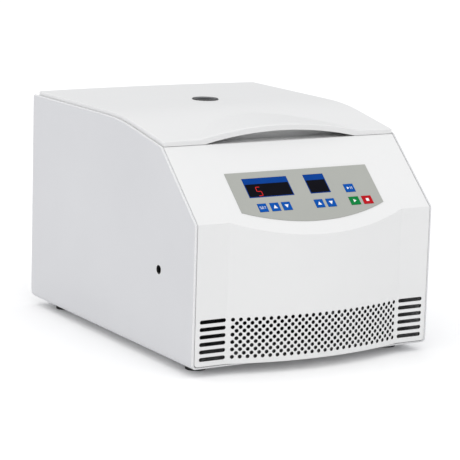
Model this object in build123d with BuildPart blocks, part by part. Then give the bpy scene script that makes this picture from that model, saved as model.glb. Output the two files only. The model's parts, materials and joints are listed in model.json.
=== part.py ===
from build123d import *
from math import atan2, cos, radians, sin, sqrt, tan
import os

os.makedirs("parts", exist_ok=True)

# High-speed benchtop centrifuge, in millimetres.
# X runs to the viewer's right, Y from the front to the rear and Z up. The origin is
# on the bench, under the middle of the overall width and depth.

# Casing wrap
body_width = 390.0
body_depth = 500.0
body_height = 315.0
wall = 3.0
wrap_bend = 8.0
knee_height = 200.0
slope_run = 100.0
brow_drop = 23.0
roof_pitch = 10.5
roof_bend_radius = 450.0
rear_corner_radius = 12.0
small_corner_radius = 4.0
sheet_edge_round = 1.2
seam = 0.8
rear_recess = 10.0
flange_width = 14.0
ledge_width = 14.0

# Front panel
panel_skin = 3.0
panel_return = 16.0
panel_top_drop = 1.0
bulge_margin = 49.2
bulge_rise = 23.0
bulge_blend = 12.0
panel_edge_round = 1.0
shelf_gap = 3.0
slot_length = 41.0
slot_height = 5.5
slot_rows = 6
slot_pitch = 10.4
slot_margin = 27.3
vent_bottom_height = 14.0
hole_diameter = 5.5
hole_columns = 26
hole_rows = 6
grille_margin = 8.25
hole_pitch_z = 10.4

# Lid
lid_proud = 6.0
lid_skin = 3.0
lid_crown = 1.5
lid_lift_gap = 0.5
lid_rear_recess = 11.5
arch_margin = 54.2
arch_rise = 16.0
arch_rake = 2.0
arch_run = 150.0
finger_margin = 12.0
finger_rise = 14.0
liner_thickness = 3.0
liner_drop = 2.5
finger_depth = 32.0
lid_edge_round = 2.0
edge_round = 1.0
fit = 0.5
lid_boss_radius = 5.0
lid_boss_x = 160.0
sight_radius = 20.0
sight_tube_radius = 16.5
sight_lens_radius = 15.0
sight_flange = 1.5
sight_seat = 1.5
sight_dome = 1.2

# Deck, chamber and guard ring
deck_thickness = 2.5
deck_gap = 5.0
chamber_front_gap = 13.0
chamber_rear_gap = 1.0
bowl_depth = 136.0
bowl_wall = 1.5
bowl_corner = 20.0
bowl_rim = 12.0
guard_gap = 1.5
guard_wall = 6.0
guard_windows = 4
guard_window_arc = 58.0
guard_window_bottom = 12.0
guard_window_height = 88.0
gasket_inset = 1.0
gasket_width = 6.0
gasket_lip = 2.0
gasket_gap = 0.3

# Rotor
rotor_radius = 106.0
rotor_top_radius = 74.0
rotor_height = 78.0
rotor_clearance = 12.0
rotor_rim_height = 24.0
rotor_chamfer = 8.0
pocket_count = 6
pocket_radius = 14.5
pocket_mouth_radius = 50.0
pocket_tilt = 28.0
pocket_depth = 62.0
nut_radius = 18.0
nut_height = 22.0
nut_grips = 12
nut_grip_radius = 2.5
nut_grip_setback = 1.7

# Motor
shaft_radius = 6.0
hub_radius = 10.0
shaft_tip_radius = 7.0
thread_radius = 5.0
thread_length = 16.0
running_fit = 0.05
mount_radius = 12.0
mount_height = 14.0
mount_circle = 72.0
mount_count = 3
motor_plate_radius = 90.0
motor_plate_thickness = 6.0
motor_radius = 60.0
motor_wall = 5.0
bell_thickness = 7.0
bearing_radius = 16.0
bearing_width = 10.0
bearing_boss_wall = 6.0
stator_bore = 33.0
stator_end_gap = 21.0
stator_slots = 12
stator_slot_width = 5.0
stator_slot_depth = 12.0
air_gap = 0.5
boot_height = 32.0
boot_clearance = 6.0
boot_wall = 3.0
boot_flange = 9.0
motor_bolt_radius = 3.0
motor_bolt_head = 5.0
motor_bolt_head_height = 4.0

# Keys, windows and boards, on the sloping face
overlay_thickness = 0.8
overlay_half_width = 117.0
overlay_top = 82.0
overlay_corner = 14.6
overlay_bottom = -8.0
key_gap = 0.25
key_proud = 0.4
key_flange = 1.0
key_flange_thickness = 1.2
key_travel = 0.5
key_rest_gap = 0.1
key_height = 14.0
small_key_width = 14.0
wide_key_width = 16.0
key_row = 20.0
pulse_row = 42.6
window_ledge = 3.0
window_seat = 1.2
window_bottom = 38.0
window_top = 71.0
speed_window_left = -94.4
speed_window_right = -22.0
timer_window_left = 5.5
timer_window_right = 38.8
board_thickness = 1.6
board_half_width = 108.0
board_bottom = 8.0
board_top = 77.0
switch_height = 1.5
switch_size = 6.0
standoff_radius = 3.0
digit_height = 4.2
digit_margin = 6.0

# Drive electronics on the floor
drive_width = 130.0
drive_depth = 90.0
drive_side_margin = 42.0
drive_setback = 75.0
drive_standoff = 8.0
sink_width = 60.0
sink_depth = 50.0
sink_height = 34.0
sink_base = 5.0
sink_fins = 8
fin_thickness = 2.0

# Lid lock and emergency release
lock_setback = 43.0
bolt_radius = 4.0
bolt_drop = 14.5
bolt_travel = 12.0
striker_thickness = 4.0
striker_width = 16.0
striker_gap = 3.0
striker_window_clearance = 1.0
striker_tongue = 11.0
striker_foot = 26.0
lock_width = 62.0
lock_height = 26.0
lock_depth = 24.0
lever_side_margin = 20.0
lever_shaft_radius = 3.0
lever_thickness = 4.0
lever_width = 12.0
release_setback = 98.0
release_height = 121.0
release_hole_radius = 6.5
striker_foot_thickness = 2.0
cross_pin_radius = 2.0
fork_clearance = 0.35
bracket_length = 22.0
grommet_wall = 1.0
grommet_rim = 1.5
grommet_lip = 0.8

# Lid hinge
hinge_margin = 82.0
hinge_half_length = 30.0
knuckle_half_length = 10.7
knuckle_gap = 0.3
barrel_radius = 5.0
hinge_pin_radius = 2.5
hinge_setback = 5.5
hinge_rise = 6.0
hinge_leaf = 2.0
hinge_leaf_length = 31.0

# Rear panel fittings
rear_panel_thickness = 2.0
fan_size = 80.0
fan_thickness = 25.0
fan_bore = 38.0
fan_margin = 87.0
fan_height = 92.0
fan_hub = 17.0
fan_blades = 7
fan_blade_thickness = 1.8
fan_blade_pitch = 38.0
fan_tip_gap = 1.0
fan_screw_pitch = 71.5
fan_diagonals = (45, 135)
strut_thickness = 3.0
strut_width = 5.0
fan_pin_radius = 2.0
hub_wall = 2.0
guard_wire = 0.9
guard_rings = 5
guard_ring_lift = 2.16
inlet_margin = 77.0
inlet_height = 60.0
inlet_width = 27.0
inlet_tall = 20.0
inlet_depth = 22.0
inlet_flange = 4.0
inlet_wall = 2.0
inlet_corner = 4.0
inlet_socket_depth = 16.0
inlet_pin_pitch = 7.0
inlet_pin_width = 2.0
inlet_pin_tall = 4.0
inlet_pin_length = 13.0
switch_rise = 42.0
switch_width = 21.0
switch_tall = 24.0
switch_depth = 16.0
switch_wall = 2.0
switch_flange = 2.5
flange_thickness = 1.5
rocker_tilt = 10.0
rocker_pivot_radius = 1.5
rocker_gap = 0.3

# Feet and fasteners
foot_height = 12.0
foot_radius = 15.0
foot_margin = 35.0
foot_inset = 50.0
foot_taper = 3
screw_radius = 2.0
screw_head_radius = 3.8
screw_head_height = 2.4
screw_length = 8.0
socket_depth = 1.3
socket_radius = 1.5
screw_clearance = 0.15

# Places that follow from the driving sizes
front_y = (bulge_rise - body_depth) / 2
rear_y = front_y + body_depth
floor_z = foot_height
floor_top_z = floor_z + wall
top_z = floor_z + body_height
knee_z = floor_z + knee_height
brow_y = front_y + slope_run
brow_z = top_z - brow_drop
slope_angle = atan2(brow_z - knee_z, slope_run)
pitch_angle = radians(roof_pitch)
roof_bend_y = brow_y + (top_z - brow_z) / tan(pitch_angle)
inner_half_width = body_width / 2 - wall
panel_half_width = inner_half_width - seam
panel_bottom_z = floor_top_z + seam
panel_top_z = brow_z - panel_top_drop
lid_bottom_z = panel_top_z + lid_lift_gap
liner_z = lid_bottom_z - liner_drop
liner_top_z = liner_z + liner_thickness
deck_top_z = liner_z - deck_gap
deck_bottom_z = deck_top_z - deck_thickness
rear_panel_y = rear_y - rear_recess - rear_panel_thickness
rear_face_y = rear_panel_y + rear_panel_thickness
lock_y = brow_y + lock_setback
clear_of_all = 2 * body_depth
cut_through = 4 * wall
half_cut = 2 * wall
screw_hole = screw_radius + screw_clearance

# The chamber fills the length between the lid lock and the fan
chamber_front_y = lock_y + lock_depth / 2 + chamber_front_gap
chamber_rear_y = rear_panel_y - fan_thickness - chamber_rear_gap
rotor_y = (chamber_front_y + chamber_rear_y) / 2
guard_outside = (chamber_rear_y - chamber_front_y) / 2
guard_inside = guard_outside - guard_wall
bowl_outside = guard_inside - guard_gap
bowl_radius = bowl_outside - bowl_wall
bowl_floor_z = deck_top_z - bowl_depth

# Places across the width
bulge_half_width = panel_half_width - bulge_margin
arch_half_width = panel_half_width - arch_margin
finger_half_width = arch_half_width - finger_margin
slot_centre_x = panel_half_width - slot_margin
hole_pitch_x = 2 * (bulge_half_width - grille_margin) / (hole_columns - 1)
foot_x = body_width / 2 - foot_margin
hinge_x = inner_half_width - hinge_margin
fan_x = -(inner_half_width - fan_margin)
inlet_x = inner_half_width - inlet_margin
switch_x = inlet_x
drive_x = inner_half_width - drive_side_margin - drive_width / 2
lever_x = -(inner_half_width - lever_side_margin)
slope_plane = Plane(
    origin=(0, front_y, knee_z),
    x_dir=(1, 0, 0),
    z_dir=(0, -sin(slope_angle), cos(slope_angle)),
)


def plane_at_y(y):
    """Upright plane across the machine at y: local y is Z and the normal looks to the front."""
    return Plane.XZ.offset(-y)


# Depths behind the sloping face: window seat, key flange, and the display board, whose
# push contacts stand just below the keys' full travel
window_seat_plane = slope_plane.offset(-window_seat)
panel_back_plane = slope_plane.offset(-panel_skin)
flange_plane = panel_back_plane.offset(-key_rest_gap)
board_top_depth = panel_skin + 2 * key_rest_gap + key_flange_thickness + key_travel + switch_height
board_plane = slope_plane.offset(-board_top_depth)
window_mid = (window_bottom + window_top) / 2
window_height = window_top - window_bottom
speed_window_x = (speed_window_left + speed_window_right) / 2
speed_window_width = speed_window_right - speed_window_left
timer_window_x = (timer_window_left + timer_window_right) / 2
timer_window_width = timer_window_right - timer_window_left
windows = [(speed_window_x, speed_window_width), (timer_window_x, timer_window_width)]

# Each key: its middle on the sloping face and its width
keys = {
    "key_speed_set": (-81.0, key_row, small_key_width),
    "key_speed_up": (-61.2, key_row, small_key_width),
    "key_speed_down": (-42.3, key_row, small_key_width),
    "key_time_up": (11.5, key_row, small_key_width),
    "key_time_down": (30.7, key_row, small_key_width),
    "key_pulse": (71.8, pulse_row, wide_key_width),
    "key_start": (70.6, key_row, wide_key_width),
    "key_stop": (92.1, key_row, wide_key_width),
}

foot_places = [
    (side * foot_x, y) for side in (-1, 1) for y in (front_y + foot_inset, rear_y - foot_inset)
]
deck_screw_x = inner_half_width - ledge_width / 2
deck_front_y = brow_y - (brow_z - deck_top_z) / tan(slope_angle) + panel_skin / sin(slope_angle) + fit
ledge_front_y = deck_front_y + panel_return
ledge_rear_y = rear_panel_y - wall
deck_screw_y = [ledge_front_y + flange_width, rotor_y, ledge_rear_y - flange_width]
deck_screw_places = [(side * deck_screw_x, y) for side in (-1, 1) for y in deck_screw_y]
flange_bottom_z = floor_top_z + rear_corner_radius
flange_top_z = deck_bottom_z - 2 * wall
flange_middle_z = (flange_bottom_z + flange_top_z) / 2
rear_screw_z = [flange_bottom_z + flange_width, flange_middle_z, flange_top_z - flange_width]
rear_screw_x = inner_half_width - flange_width / 2
rear_screw_places = [(side * rear_screw_x, z) for side in (-1, 1) for z in rear_screw_z]
release_y = front_y + release_setback
release_z = floor_z + release_height
fan_z = floor_z + fan_height
inlet_z = floor_z + inlet_height
switch_z = inlet_z + switch_rise


# Block with the outline of the side panels, rounded all round
with BuildPart() as outline_block:
    with BuildSketch(Plane.YZ):
        with BuildLine():
            FilletPolyline(
                (front_y, knee_z),
                (brow_y, brow_z),
                (roof_bend_y, top_z),
                (rear_y, top_z),
                (rear_y, floor_z),
                (front_y, floor_z),
                radius=[
                    small_corner_radius,
                    small_corner_radius,
                    roof_bend_radius,
                    small_corner_radius,
                    rear_corner_radius,
                    small_corner_radius,
                ],
                close=True,
            )
        make_face()
    extrude(amount=body_width / 2, both=True)
    fillet(outline_block.faces().filter_by(Axis.X).edges(), sheet_edge_round)


# Casing wrap: floor and both side panels from one sheet, with rear flanges and deck ledges
with BuildPart() as casing_shell:
    with BuildSketch(plane_at_y(front_y)) as wrap_outside:
        with Locations((0, floor_z)):
            Rectangle(body_width, body_height, align=(Align.CENTER, Align.MIN))
        fillet(wrap_outside.vertices().group_by(Axis.Y)[0], wrap_bend)
    extrude(amount=-body_depth)
    with BuildSketch(plane_at_y(front_y)) as wrap_inside:
        with Locations((0, floor_top_z)):
            Rectangle(2 * inner_half_width, body_height, align=(Align.CENTER, Align.MIN))
        fillet(wrap_inside.vertices().group_by(Axis.Y)[0], wrap_bend - wall)
    extrude(amount=-body_depth, mode=Mode.SUBTRACT)
    add(outline_block.part, mode=Mode.INTERSECT)
    for side in (-1, 1):
        with Locations((side * (inner_half_width - flange_width / 2), rear_panel_y - wall / 2, flange_middle_z)):
            Box(flange_width, wall, flange_top_z - flange_bottom_z)
        with Locations((side * deck_screw_x, (ledge_front_y + ledge_rear_y) / 2, deck_bottom_z - wall / 2)):
            Box(ledge_width, ledge_rear_y - ledge_front_y, wall)
    with Locations(*[(x, y, floor_z) for x, y in foot_places]):
        Cylinder(screw_hole, cut_through, mode=Mode.SUBTRACT)
    with Locations((0, rotor_y, floor_z)):
        with PolarLocations(mount_circle, mount_count, start_angle=90):
            Cylinder(motor_bolt_radius + screw_clearance, cut_through, mode=Mode.SUBTRACT)
    with Locations(*[(x, y, deck_bottom_z) for x, y in deck_screw_places]):
        Cylinder(screw_hole, cut_through, mode=Mode.SUBTRACT)
    with BuildSketch(plane_at_y(rear_panel_y)):
        with Locations(*rear_screw_places):
            Circle(screw_hole)
    extrude(amount=half_cut, both=True, mode=Mode.SUBTRACT)
    with BuildSketch(Plane.YZ.offset(-body_width / 2)):
        with Locations((release_y, release_z)):
            Circle(release_hole_radius)
    extrude(amount=half_cut, both=True, mode=Mode.SUBTRACT)
casing_shell.part.label = "casing_shell"
export_step(casing_shell.part, "parts/casing_shell.step")


# Front panel: upright lower part with an upright-axis bulge, cut off by the sloping face
bulge_radius = (bulge_half_width**2 + bulge_rise**2) / (2 * bulge_rise)
bulge_centre_y = front_y - bulge_rise + bulge_radius


def front_solid(inset, bottom_z):
    """Block behind the front's outer surface, with every outer face moved in by inset."""
    radius = bulge_radius - inset
    flat_y = front_y + inset
    half_chord = sqrt(radius**2 - (bulge_centre_y - flat_y) ** 2)
    half_width = panel_half_width - inset
    with BuildPart() as block:
        with BuildSketch(Plane.XY.offset(bottom_z)):
            with BuildLine():
                Polyline(
                    (-half_chord, flat_y),
                    (-half_width, flat_y),
                    (-half_width, rotor_y),
                    (half_width, rotor_y),
                    (half_width, flat_y),
                    (half_chord, flat_y),
                )
                ThreePointArc((half_chord, flat_y), (0, bulge_centre_y - radius), (-half_chord, flat_y))
            make_face()
        extrude(amount=panel_top_z - bottom_z)
        split(bisect_by=slope_plane.offset(-inset), keep=Keep.BOTTOM)
    return block.part


front_block = front_solid(0, panel_bottom_z)
bulge_reach = bulge_half_width + seam
front_outside = front_block.fillet(
    bulge_blend,
    front_block.edges().filter_by(Axis.Z).filter_by_position(Axis.X, -bulge_reach, bulge_reach),
)
front_inside = front_solid(panel_skin, panel_bottom_z + panel_skin)
return_knee_z = knee_z - panel_return * (1 - sin(slope_angle)) / cos(slope_angle)
return_top_y = front_y + panel_return + clear_of_all * cos(slope_angle)
return_top_z = return_knee_z + clear_of_all * sin(slope_angle)
slot_places = [
    (side * slot_centre_x, floor_z + vent_bottom_height + row * slot_pitch)
    for side in (-1, 1)
    for row in range(slot_rows)
]
vent_middle_z = floor_z + vent_bottom_height + (hole_rows - 1) * hole_pitch_z / 2

with BuildPart() as front_panel:
    add(front_outside)
    rim = front_panel.edges().filter_by_position(Axis.Y, front_y - bulge_rise, brow_y)
    fillet(rim - front_panel.edges().filter_by(Axis.Z), panel_edge_round)
    add(front_inside, mode=Mode.SUBTRACT)
    # The lower corners follow the bends of the wrap
    with BuildSketch(plane_at_y(rotor_y)) as panel_outline:
        with Locations((0, panel_bottom_z)):
            Rectangle(2 * panel_half_width, body_height, align=(Align.CENTER, Align.MIN))
        fillet(panel_outline.vertices().group_by(Axis.Y)[0], wrap_bend - wall)
    extrude(amount=body_depth, mode=Mode.INTERSECT)
    with BuildSketch(Plane.YZ):
        with BuildLine():
            Polyline(
                (front_y + panel_return, floor_z - body_height),
                (front_y + panel_return, return_knee_z),
                (return_top_y, return_top_z),
                (return_top_y, floor_z - body_height),
                close=True,
            )
        make_face()
    extrude(amount=body_width, both=True, mode=Mode.SUBTRACT)
    # Shelf behind the brow: the floor of the finger gap
    with Locations((0, brow_y, panel_top_z)):
        shelf_depth = finger_depth - shelf_gap
        Box(2 * panel_half_width, shelf_depth, panel_skin, align=(Align.CENTER, Align.MIN, Align.MAX))
    with BuildSketch(plane_at_y(front_y - bulge_rise - wall)):
        with Locations(*slot_places):
            SlotOverall(slot_length, slot_height)
        with Locations((0, vent_middle_z)):
            with GridLocations(hole_pitch_x, hole_pitch_z, hole_columns, hole_rows):
                Circle(hole_diameter / 2)
            with GridLocations(hole_pitch_x, hole_pitch_z, hole_columns - 1, hole_rows - 1):
                Circle(hole_diameter / 2)
    extrude(amount=-(bulge_rise + cut_through), mode=Mode.SUBTRACT)
    with BuildSketch(slope_plane):
        for x, s, width in keys.values():
            with Locations((x, s)):
                Rectangle(width + 2 * key_gap, key_height + 2 * key_gap)
        for x, width in windows:
            with Locations((x, window_mid)):
                Rectangle(width - 2 * window_ledge, window_height - 2 * window_ledge)
    extrude(amount=-half_cut, mode=Mode.SUBTRACT)
    with BuildSketch(slope_plane):
        for x, width in windows:
            with Locations((x, window_mid)):
                Rectangle(width + 2 * key_gap, window_height + 2 * key_gap)
    extrude(amount=-window_seat, mode=Mode.SUBTRACT)
front_panel.part.label = "front_panel"
export_step(front_panel.part, "parts/front_panel.step")


# Key overlay: a thin sheet on the sloping face, cut out for windows and keys
with BuildPart() as keypad_overlay:
    with BuildSketch(slope_plane):
        with BuildLine():
            Polyline(
                (-overlay_half_width, overlay_corner),
                (-overlay_half_width, overlay_top),
                (overlay_half_width, overlay_top),
                (overlay_half_width, overlay_corner),
            )
            ThreePointArc(
                (overlay_half_width, overlay_corner),
                (0, overlay_bottom),
                (-overlay_half_width, overlay_corner),
            )
        make_face()
        for x, s, width in keys.values():
            with Locations((x, s)):
                Rectangle(width + 2 * key_gap, key_height + 2 * key_gap, mode=Mode.SUBTRACT)
        for x, width in windows:
            with Locations((x, window_mid)):
                Rectangle(width + 2 * key_gap, window_height + 2 * key_gap, mode=Mode.SUBTRACT)
    extrude(amount=overlay_thickness)
keypad_overlay.part.label = "keypad_overlay"
export_step(keypad_overlay.part, "parts/keypad_overlay.step")


# Display windows: clear plates seated on the ledge round each opening, flush with the overlay
for name, (window_x, width) in zip(("speed_window", "timer_window"), windows):
    with BuildPart() as window:
        with BuildSketch(window_seat_plane):
            with Locations((window_x, window_mid)):
                Rectangle(width, window_height)
        extrude(amount=window_seat + overlay_thickness)
    window.part.label = name
    export_step(window.part, f"parts/{name}.step")


# Keys: a cap through the panel, kept in by a flange behind it
for name, (key_x, key_s, width) in keys.items():
    with BuildPart() as key:
        with BuildSketch(flange_plane):
            with Locations((key_x, key_s)):
                Rectangle(width, key_height)
        extrude(amount=panel_skin + key_rest_gap + overlay_thickness + key_proud)
        fillet(key.faces().sort_by(Axis(slope_plane.origin, slope_plane.z_dir))[-1].edges(), key_proud / 2)
        with BuildSketch(flange_plane):
            with Locations((key_x, key_s)):
                Rectangle(width + 2 * key_flange, key_height + 2 * key_flange)
        extrude(amount=-key_flange_thickness)
    key.part.label = name
    export_step(key.part, f"parts/{name}.step")


# Display board with one push contact under each key
with BuildPart() as display_board:
    with BuildSketch(board_plane):
        with Locations((0, (board_bottom + board_top) / 2)):
            Rectangle(2 * board_half_width, board_top - board_bottom)
    extrude(amount=-board_thickness)
    with BuildSketch(board_plane):
        for x, s, width in keys.values():
            with Locations((x, s)):
                Rectangle(switch_size, switch_size)
    extrude(amount=switch_height)
display_board.part.label = "display_board"
export_step(display_board.part, "parts/display_board.step")

with BuildPart() as digit_modules:
    with BuildSketch(board_plane):
        for x, width in windows:
            with Locations((x, window_mid)):
                Rectangle(width - 2 * digit_margin, window_height - 2 * digit_margin)
    extrude(amount=digit_height)
digit_modules.part.label = "digit_modules"
export_step(digit_modules.part, "parts/digit_modules.step")


# Drive board on the floor behind the front panel, with a finned heat sink
drive_y = front_y + drive_setback
drive_z = floor_top_z + drive_standoff
drive_inset = standoff_radius + board_thickness

with BuildPart() as drive_board:
    with Locations((drive_x, drive_y, drive_z + board_thickness / 2)):
        Box(drive_width, drive_depth, board_thickness)
drive_board.part.label = "drive_board"
export_step(drive_board.part, "parts/drive_board.step")

with BuildPart() as drive_heatsink:
    with Locations((drive_x, drive_y, drive_z + board_thickness)):
        Box(sink_width, sink_depth, sink_base, align=(Align.CENTER, Align.CENTER, Align.MIN))
        with GridLocations((sink_width - fin_thickness) / (sink_fins - 1), sink_depth, sink_fins, 1):
            Box(fin_thickness, sink_depth, sink_height, align=(Align.CENTER, Align.CENTER, Align.MIN))
drive_heatsink.part.label = "drive_heatsink"
export_step(drive_heatsink.part, "parts/drive_heatsink.step")

with BuildPart() as board_standoffs:
    with BuildSketch(board_plane):
        with Locations((0, (board_bottom + board_top) / 2)):
            with GridLocations(
                2 * (board_half_width - standoff_radius),
                board_top - board_bottom - 2 * standoff_radius,
                2,
                2,
            ):
                Circle(standoff_radius)
    extrude(amount=board_top_depth - panel_skin)
    with BuildSketch(Plane.XY.offset(floor_top_z)):
        with Locations((drive_x, drive_y)):
            with GridLocations(drive_width - 2 * drive_inset, drive_depth - 2 * drive_inset, 2, 2):
                Circle(standoff_radius)
    extrude(amount=drive_standoff)
board_standoffs.part.label = "board_standoffs"
export_step(board_standoffs.part, "parts/board_standoffs.step")


# Deck: the flat plate under the lid, on the side ledges, with the chamber opening
striker_slot = (striker_thickness + 2 * striker_gap, striker_width + 2 * striker_gap)
notch_length = panel_return / sin(slope_angle) + fit

with BuildPart() as top_deck:
    with BuildSketch(Plane.XY.offset(deck_bottom_z)):
        with Locations((0, (deck_front_y + rear_panel_y) / 2)):
            Rectangle(2 * (inner_half_width - fit), rear_panel_y - deck_front_y - fit)
        with Locations((0, rotor_y)):
            Circle(bowl_outside + fit, mode=Mode.SUBTRACT)
        with Locations((0, lock_y)):
            Rectangle(*striker_slot, mode=Mode.SUBTRACT)
        with Locations(*deck_screw_places):
            Circle(screw_hole, mode=Mode.SUBTRACT)
    extrude(amount=deck_thickness)
    # The front corners are notched round the inturned edges of the front panel
    for side in (-1, 1):
        with Locations((side * panel_half_width, deck_front_y, deck_top_z)):
            Box(2 * (panel_skin + seam + fit), 2 * notch_length, cut_through, mode=Mode.SUBTRACT)
top_deck.part.label = "top_deck"
export_step(top_deck.part, "parts/top_deck.step")


# Chamber bowl, hung by its rim on the deck
bowl_rim_radius = bowl_radius + bowl_rim
boot_radius = hub_radius + boot_clearance
rotor_plane = Plane.XZ.offset(-rotor_y)

with BuildPart() as chamber_bowl:
    with BuildSketch(rotor_plane):
        with BuildLine():
            FilletPolyline(
                (boot_radius, bowl_floor_z),
                (bowl_outside, bowl_floor_z),
                (bowl_outside, deck_top_z),
                (bowl_rim_radius, deck_top_z),
                (bowl_rim_radius, deck_top_z + bowl_wall),
                (bowl_radius, deck_top_z + bowl_wall),
                (bowl_radius, bowl_floor_z + bowl_wall),
                (boot_radius, bowl_floor_z + bowl_wall),
                (boot_radius, bowl_floor_z),
                radius=[0, bowl_corner + bowl_wall, 0, 0, 0, bowl_wall, bowl_corner, 0],
                close=True,
            )
        make_face()
    revolve(axis=Axis((0, rotor_y, 0), (0, 0, 1)))
chamber_bowl.part.label = "chamber_bowl"
export_step(chamber_bowl.part, "parts/chamber_bowl.step")

# Gasket with a raised lip under the lid's liner
gasket_bottom_z = deck_top_z + bowl_wall
gasket_top_z = liner_z - gasket_gap
gasket_shoulder_z = (gasket_bottom_z + gasket_top_z) / 2
gasket_outside = bowl_rim_radius - gasket_inset

with BuildPart() as chamber_gasket:
    with BuildSketch(rotor_plane):
        with BuildLine():
            Polyline(
                (gasket_outside - gasket_width, gasket_bottom_z),
                (gasket_outside, gasket_bottom_z),
                (gasket_outside, gasket_shoulder_z),
                (gasket_outside - gasket_lip, gasket_top_z),
                (gasket_outside - gasket_width + gasket_lip, gasket_top_z),
                (gasket_outside - gasket_width, gasket_shoulder_z),
                close=True,
            )
        make_face()
    revolve(axis=Axis((0, rotor_y, 0), (0, 0, 1)))
chamber_gasket.part.label = "chamber_gasket"
export_step(chamber_gasket.part, "parts/chamber_gasket.step")

# Guard ring: thick steel round the bowl, standing on the floor, with air windows below
with BuildPart() as guard_ring:
    with BuildSketch(Plane.XY.offset(floor_top_z)):
        with Locations((0, rotor_y)):
            Circle(guard_outside)
            Circle(guard_inside, mode=Mode.SUBTRACT)
    extrude(amount=deck_bottom_z - floor_top_z)
    with BuildSketch(Plane.XY.offset(floor_top_z + guard_window_bottom)):
        with Locations((0, rotor_y)):
            with PolarLocations(0, guard_windows):
                with BuildLine():
                    half = radians(guard_window_arc / 2)
                    reach = 2 * guard_outside
                    Polyline(
                        (0, 0),
                        (reach * cos(half), -reach * sin(half)),
                        (reach * cos(half), reach * sin(half)),
                        close=True,
                    )
                make_face()
    extrude(amount=guard_window_height, mode=Mode.SUBTRACT)
guard_ring.part.label = "guard_ring"
export_step(guard_ring.part, "parts/guard_ring.step")


# Motor stack, from the floor up
spin_axis = Axis((0, rotor_y, 0), (0, 0, 1))
plate_z = floor_top_z + mount_height
housing_z = plate_z + motor_plate_thickness
bell_top_z = bowl_floor_z - boot_height
bell_z = bell_top_z - bell_thickness
lower_bearing_z = housing_z + motor_wall
upper_bearing_z = bell_z - bearing_width
stator_z = housing_z + stator_end_gap
stator_length = bell_z - stator_end_gap - stator_z
seat_outside = bearing_radius + bearing_boss_wall

with BuildPart() as vibration_mounts:
    with Locations((0, rotor_y, floor_top_z)):
        with PolarLocations(mount_circle, mount_count, start_angle=90):
            Cylinder(mount_radius, mount_height, align=(Align.CENTER, Align.CENTER, Align.MIN))
            Cylinder(
                motor_bolt_radius + screw_clearance,
                mount_height,
                align=(Align.CENTER, Align.CENTER, Align.MIN),
                mode=Mode.SUBTRACT,
            )
vibration_mounts.part.label = "vibration_mounts"
export_step(vibration_mounts.part, "parts/vibration_mounts.step")

with BuildPart() as motor_plate:
    with BuildSketch(Plane.XY.offset(plate_z)):
        with Locations((0, rotor_y)):
            Circle(motor_plate_radius)
            with PolarLocations(mount_circle, mount_count, start_angle=90):
                Circle(motor_bolt_radius + screw_clearance, mode=Mode.SUBTRACT)
    extrude(amount=motor_plate_thickness)
motor_plate.part.label = "motor_plate"
export_step(motor_plate.part, "parts/motor_plate.step")

with BuildPart() as motor_bolts:
    with Locations((0, rotor_y, 0)):
        with PolarLocations(mount_circle, mount_count, start_angle=90):
            with Locations((0, 0, floor_z)):
                Cylinder(
                    motor_bolt_radius,
                    housing_z - floor_z,
                    align=(Align.CENTER, Align.CENTER, Align.MIN),
                )
            with Locations((0, 0, housing_z)):
                Cylinder(
                    motor_bolt_head,
                    motor_bolt_head_height,
                    align=(Align.CENTER, Align.CENTER, Align.MIN),
                )
motor_bolts.part.label = "motor_bolts"
export_step(motor_bolts.part, "parts/motor_bolts.step")

with BuildPart() as motor_housing:
    with BuildSketch(rotor_plane):
        with BuildLine():
            Polyline(
                (0, housing_z),
                (motor_radius, housing_z),
                (motor_radius, bell_z),
                (motor_radius - motor_wall, bell_z),
                (motor_radius - motor_wall, lower_bearing_z),
                (seat_outside, lower_bearing_z),
                (seat_outside, lower_bearing_z + bearing_width),
                (bearing_radius, lower_bearing_z + bearing_width),
                (bearing_radius, lower_bearing_z),
                (0, lower_bearing_z),
                close=True,
            )
        make_face()
    revolve(axis=spin_axis)
motor_housing.part.label = "motor_housing"
export_step(motor_housing.part, "parts/motor_housing.step")

with BuildPart() as motor_end_bell:
    with BuildSketch(rotor_plane):
        with BuildLine():
            Polyline(
                (shaft_radius + motor_bolt_radius, bell_z),
                (bearing_radius, bell_z),
                (bearing_radius, upper_bearing_z),
                (seat_outside, upper_bearing_z),
                (seat_outside, bell_z),
                (motor_radius, bell_z),
                (motor_radius, bell_top_z),
                (shaft_radius + motor_bolt_radius, bell_top_z),
                close=True,
            )
        make_face()
    revolve(axis=spin_axis)
motor_end_bell.part.label = "motor_end_bell"
export_step(motor_end_bell.part, "parts/motor_end_bell.step")

with BuildPart() as motor_bearings:
    for bearing_z in (lower_bearing_z, upper_bearing_z):
        with Locations((0, rotor_y, bearing_z)):
            Cylinder(bearing_radius, bearing_width, align=(Align.CENTER, Align.CENTER, Align.MIN))
            Cylinder(
                shaft_radius + running_fit,
                bearing_width,
                align=(Align.CENTER, Align.CENTER, Align.MIN),
                mode=Mode.SUBTRACT,
            )
motor_bearings.part.label = "motor_bearings"
export_step(motor_bearings.part, "parts/motor_bearings.step")

with BuildPart() as motor_stator:
    with BuildSketch(Plane.XY.offset(stator_z)):
        with Locations((0, rotor_y)):
            Circle(motor_radius - motor_wall)
            Circle(stator_bore, mode=Mode.SUBTRACT)
            with PolarLocations(stator_bore + stator_slot_depth / 2, stator_slots):
                Rectangle(stator_slot_depth + air_gap, stator_slot_width, mode=Mode.SUBTRACT)
    extrude(amount=stator_length)
motor_stator.part.label = "motor_stator"
export_step(motor_stator.part, "parts/motor_stator.step")

with BuildPart() as motor_armature:
    with BuildSketch(Plane.XY.offset(stator_z)):
        with Locations((0, rotor_y)):
            Circle(stator_bore - air_gap)
            Circle(shaft_radius, mode=Mode.SUBTRACT)
    extrude(amount=stator_length)
motor_armature.part.label = "motor_armature"
export_step(motor_armature.part, "parts/motor_armature.step")

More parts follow.
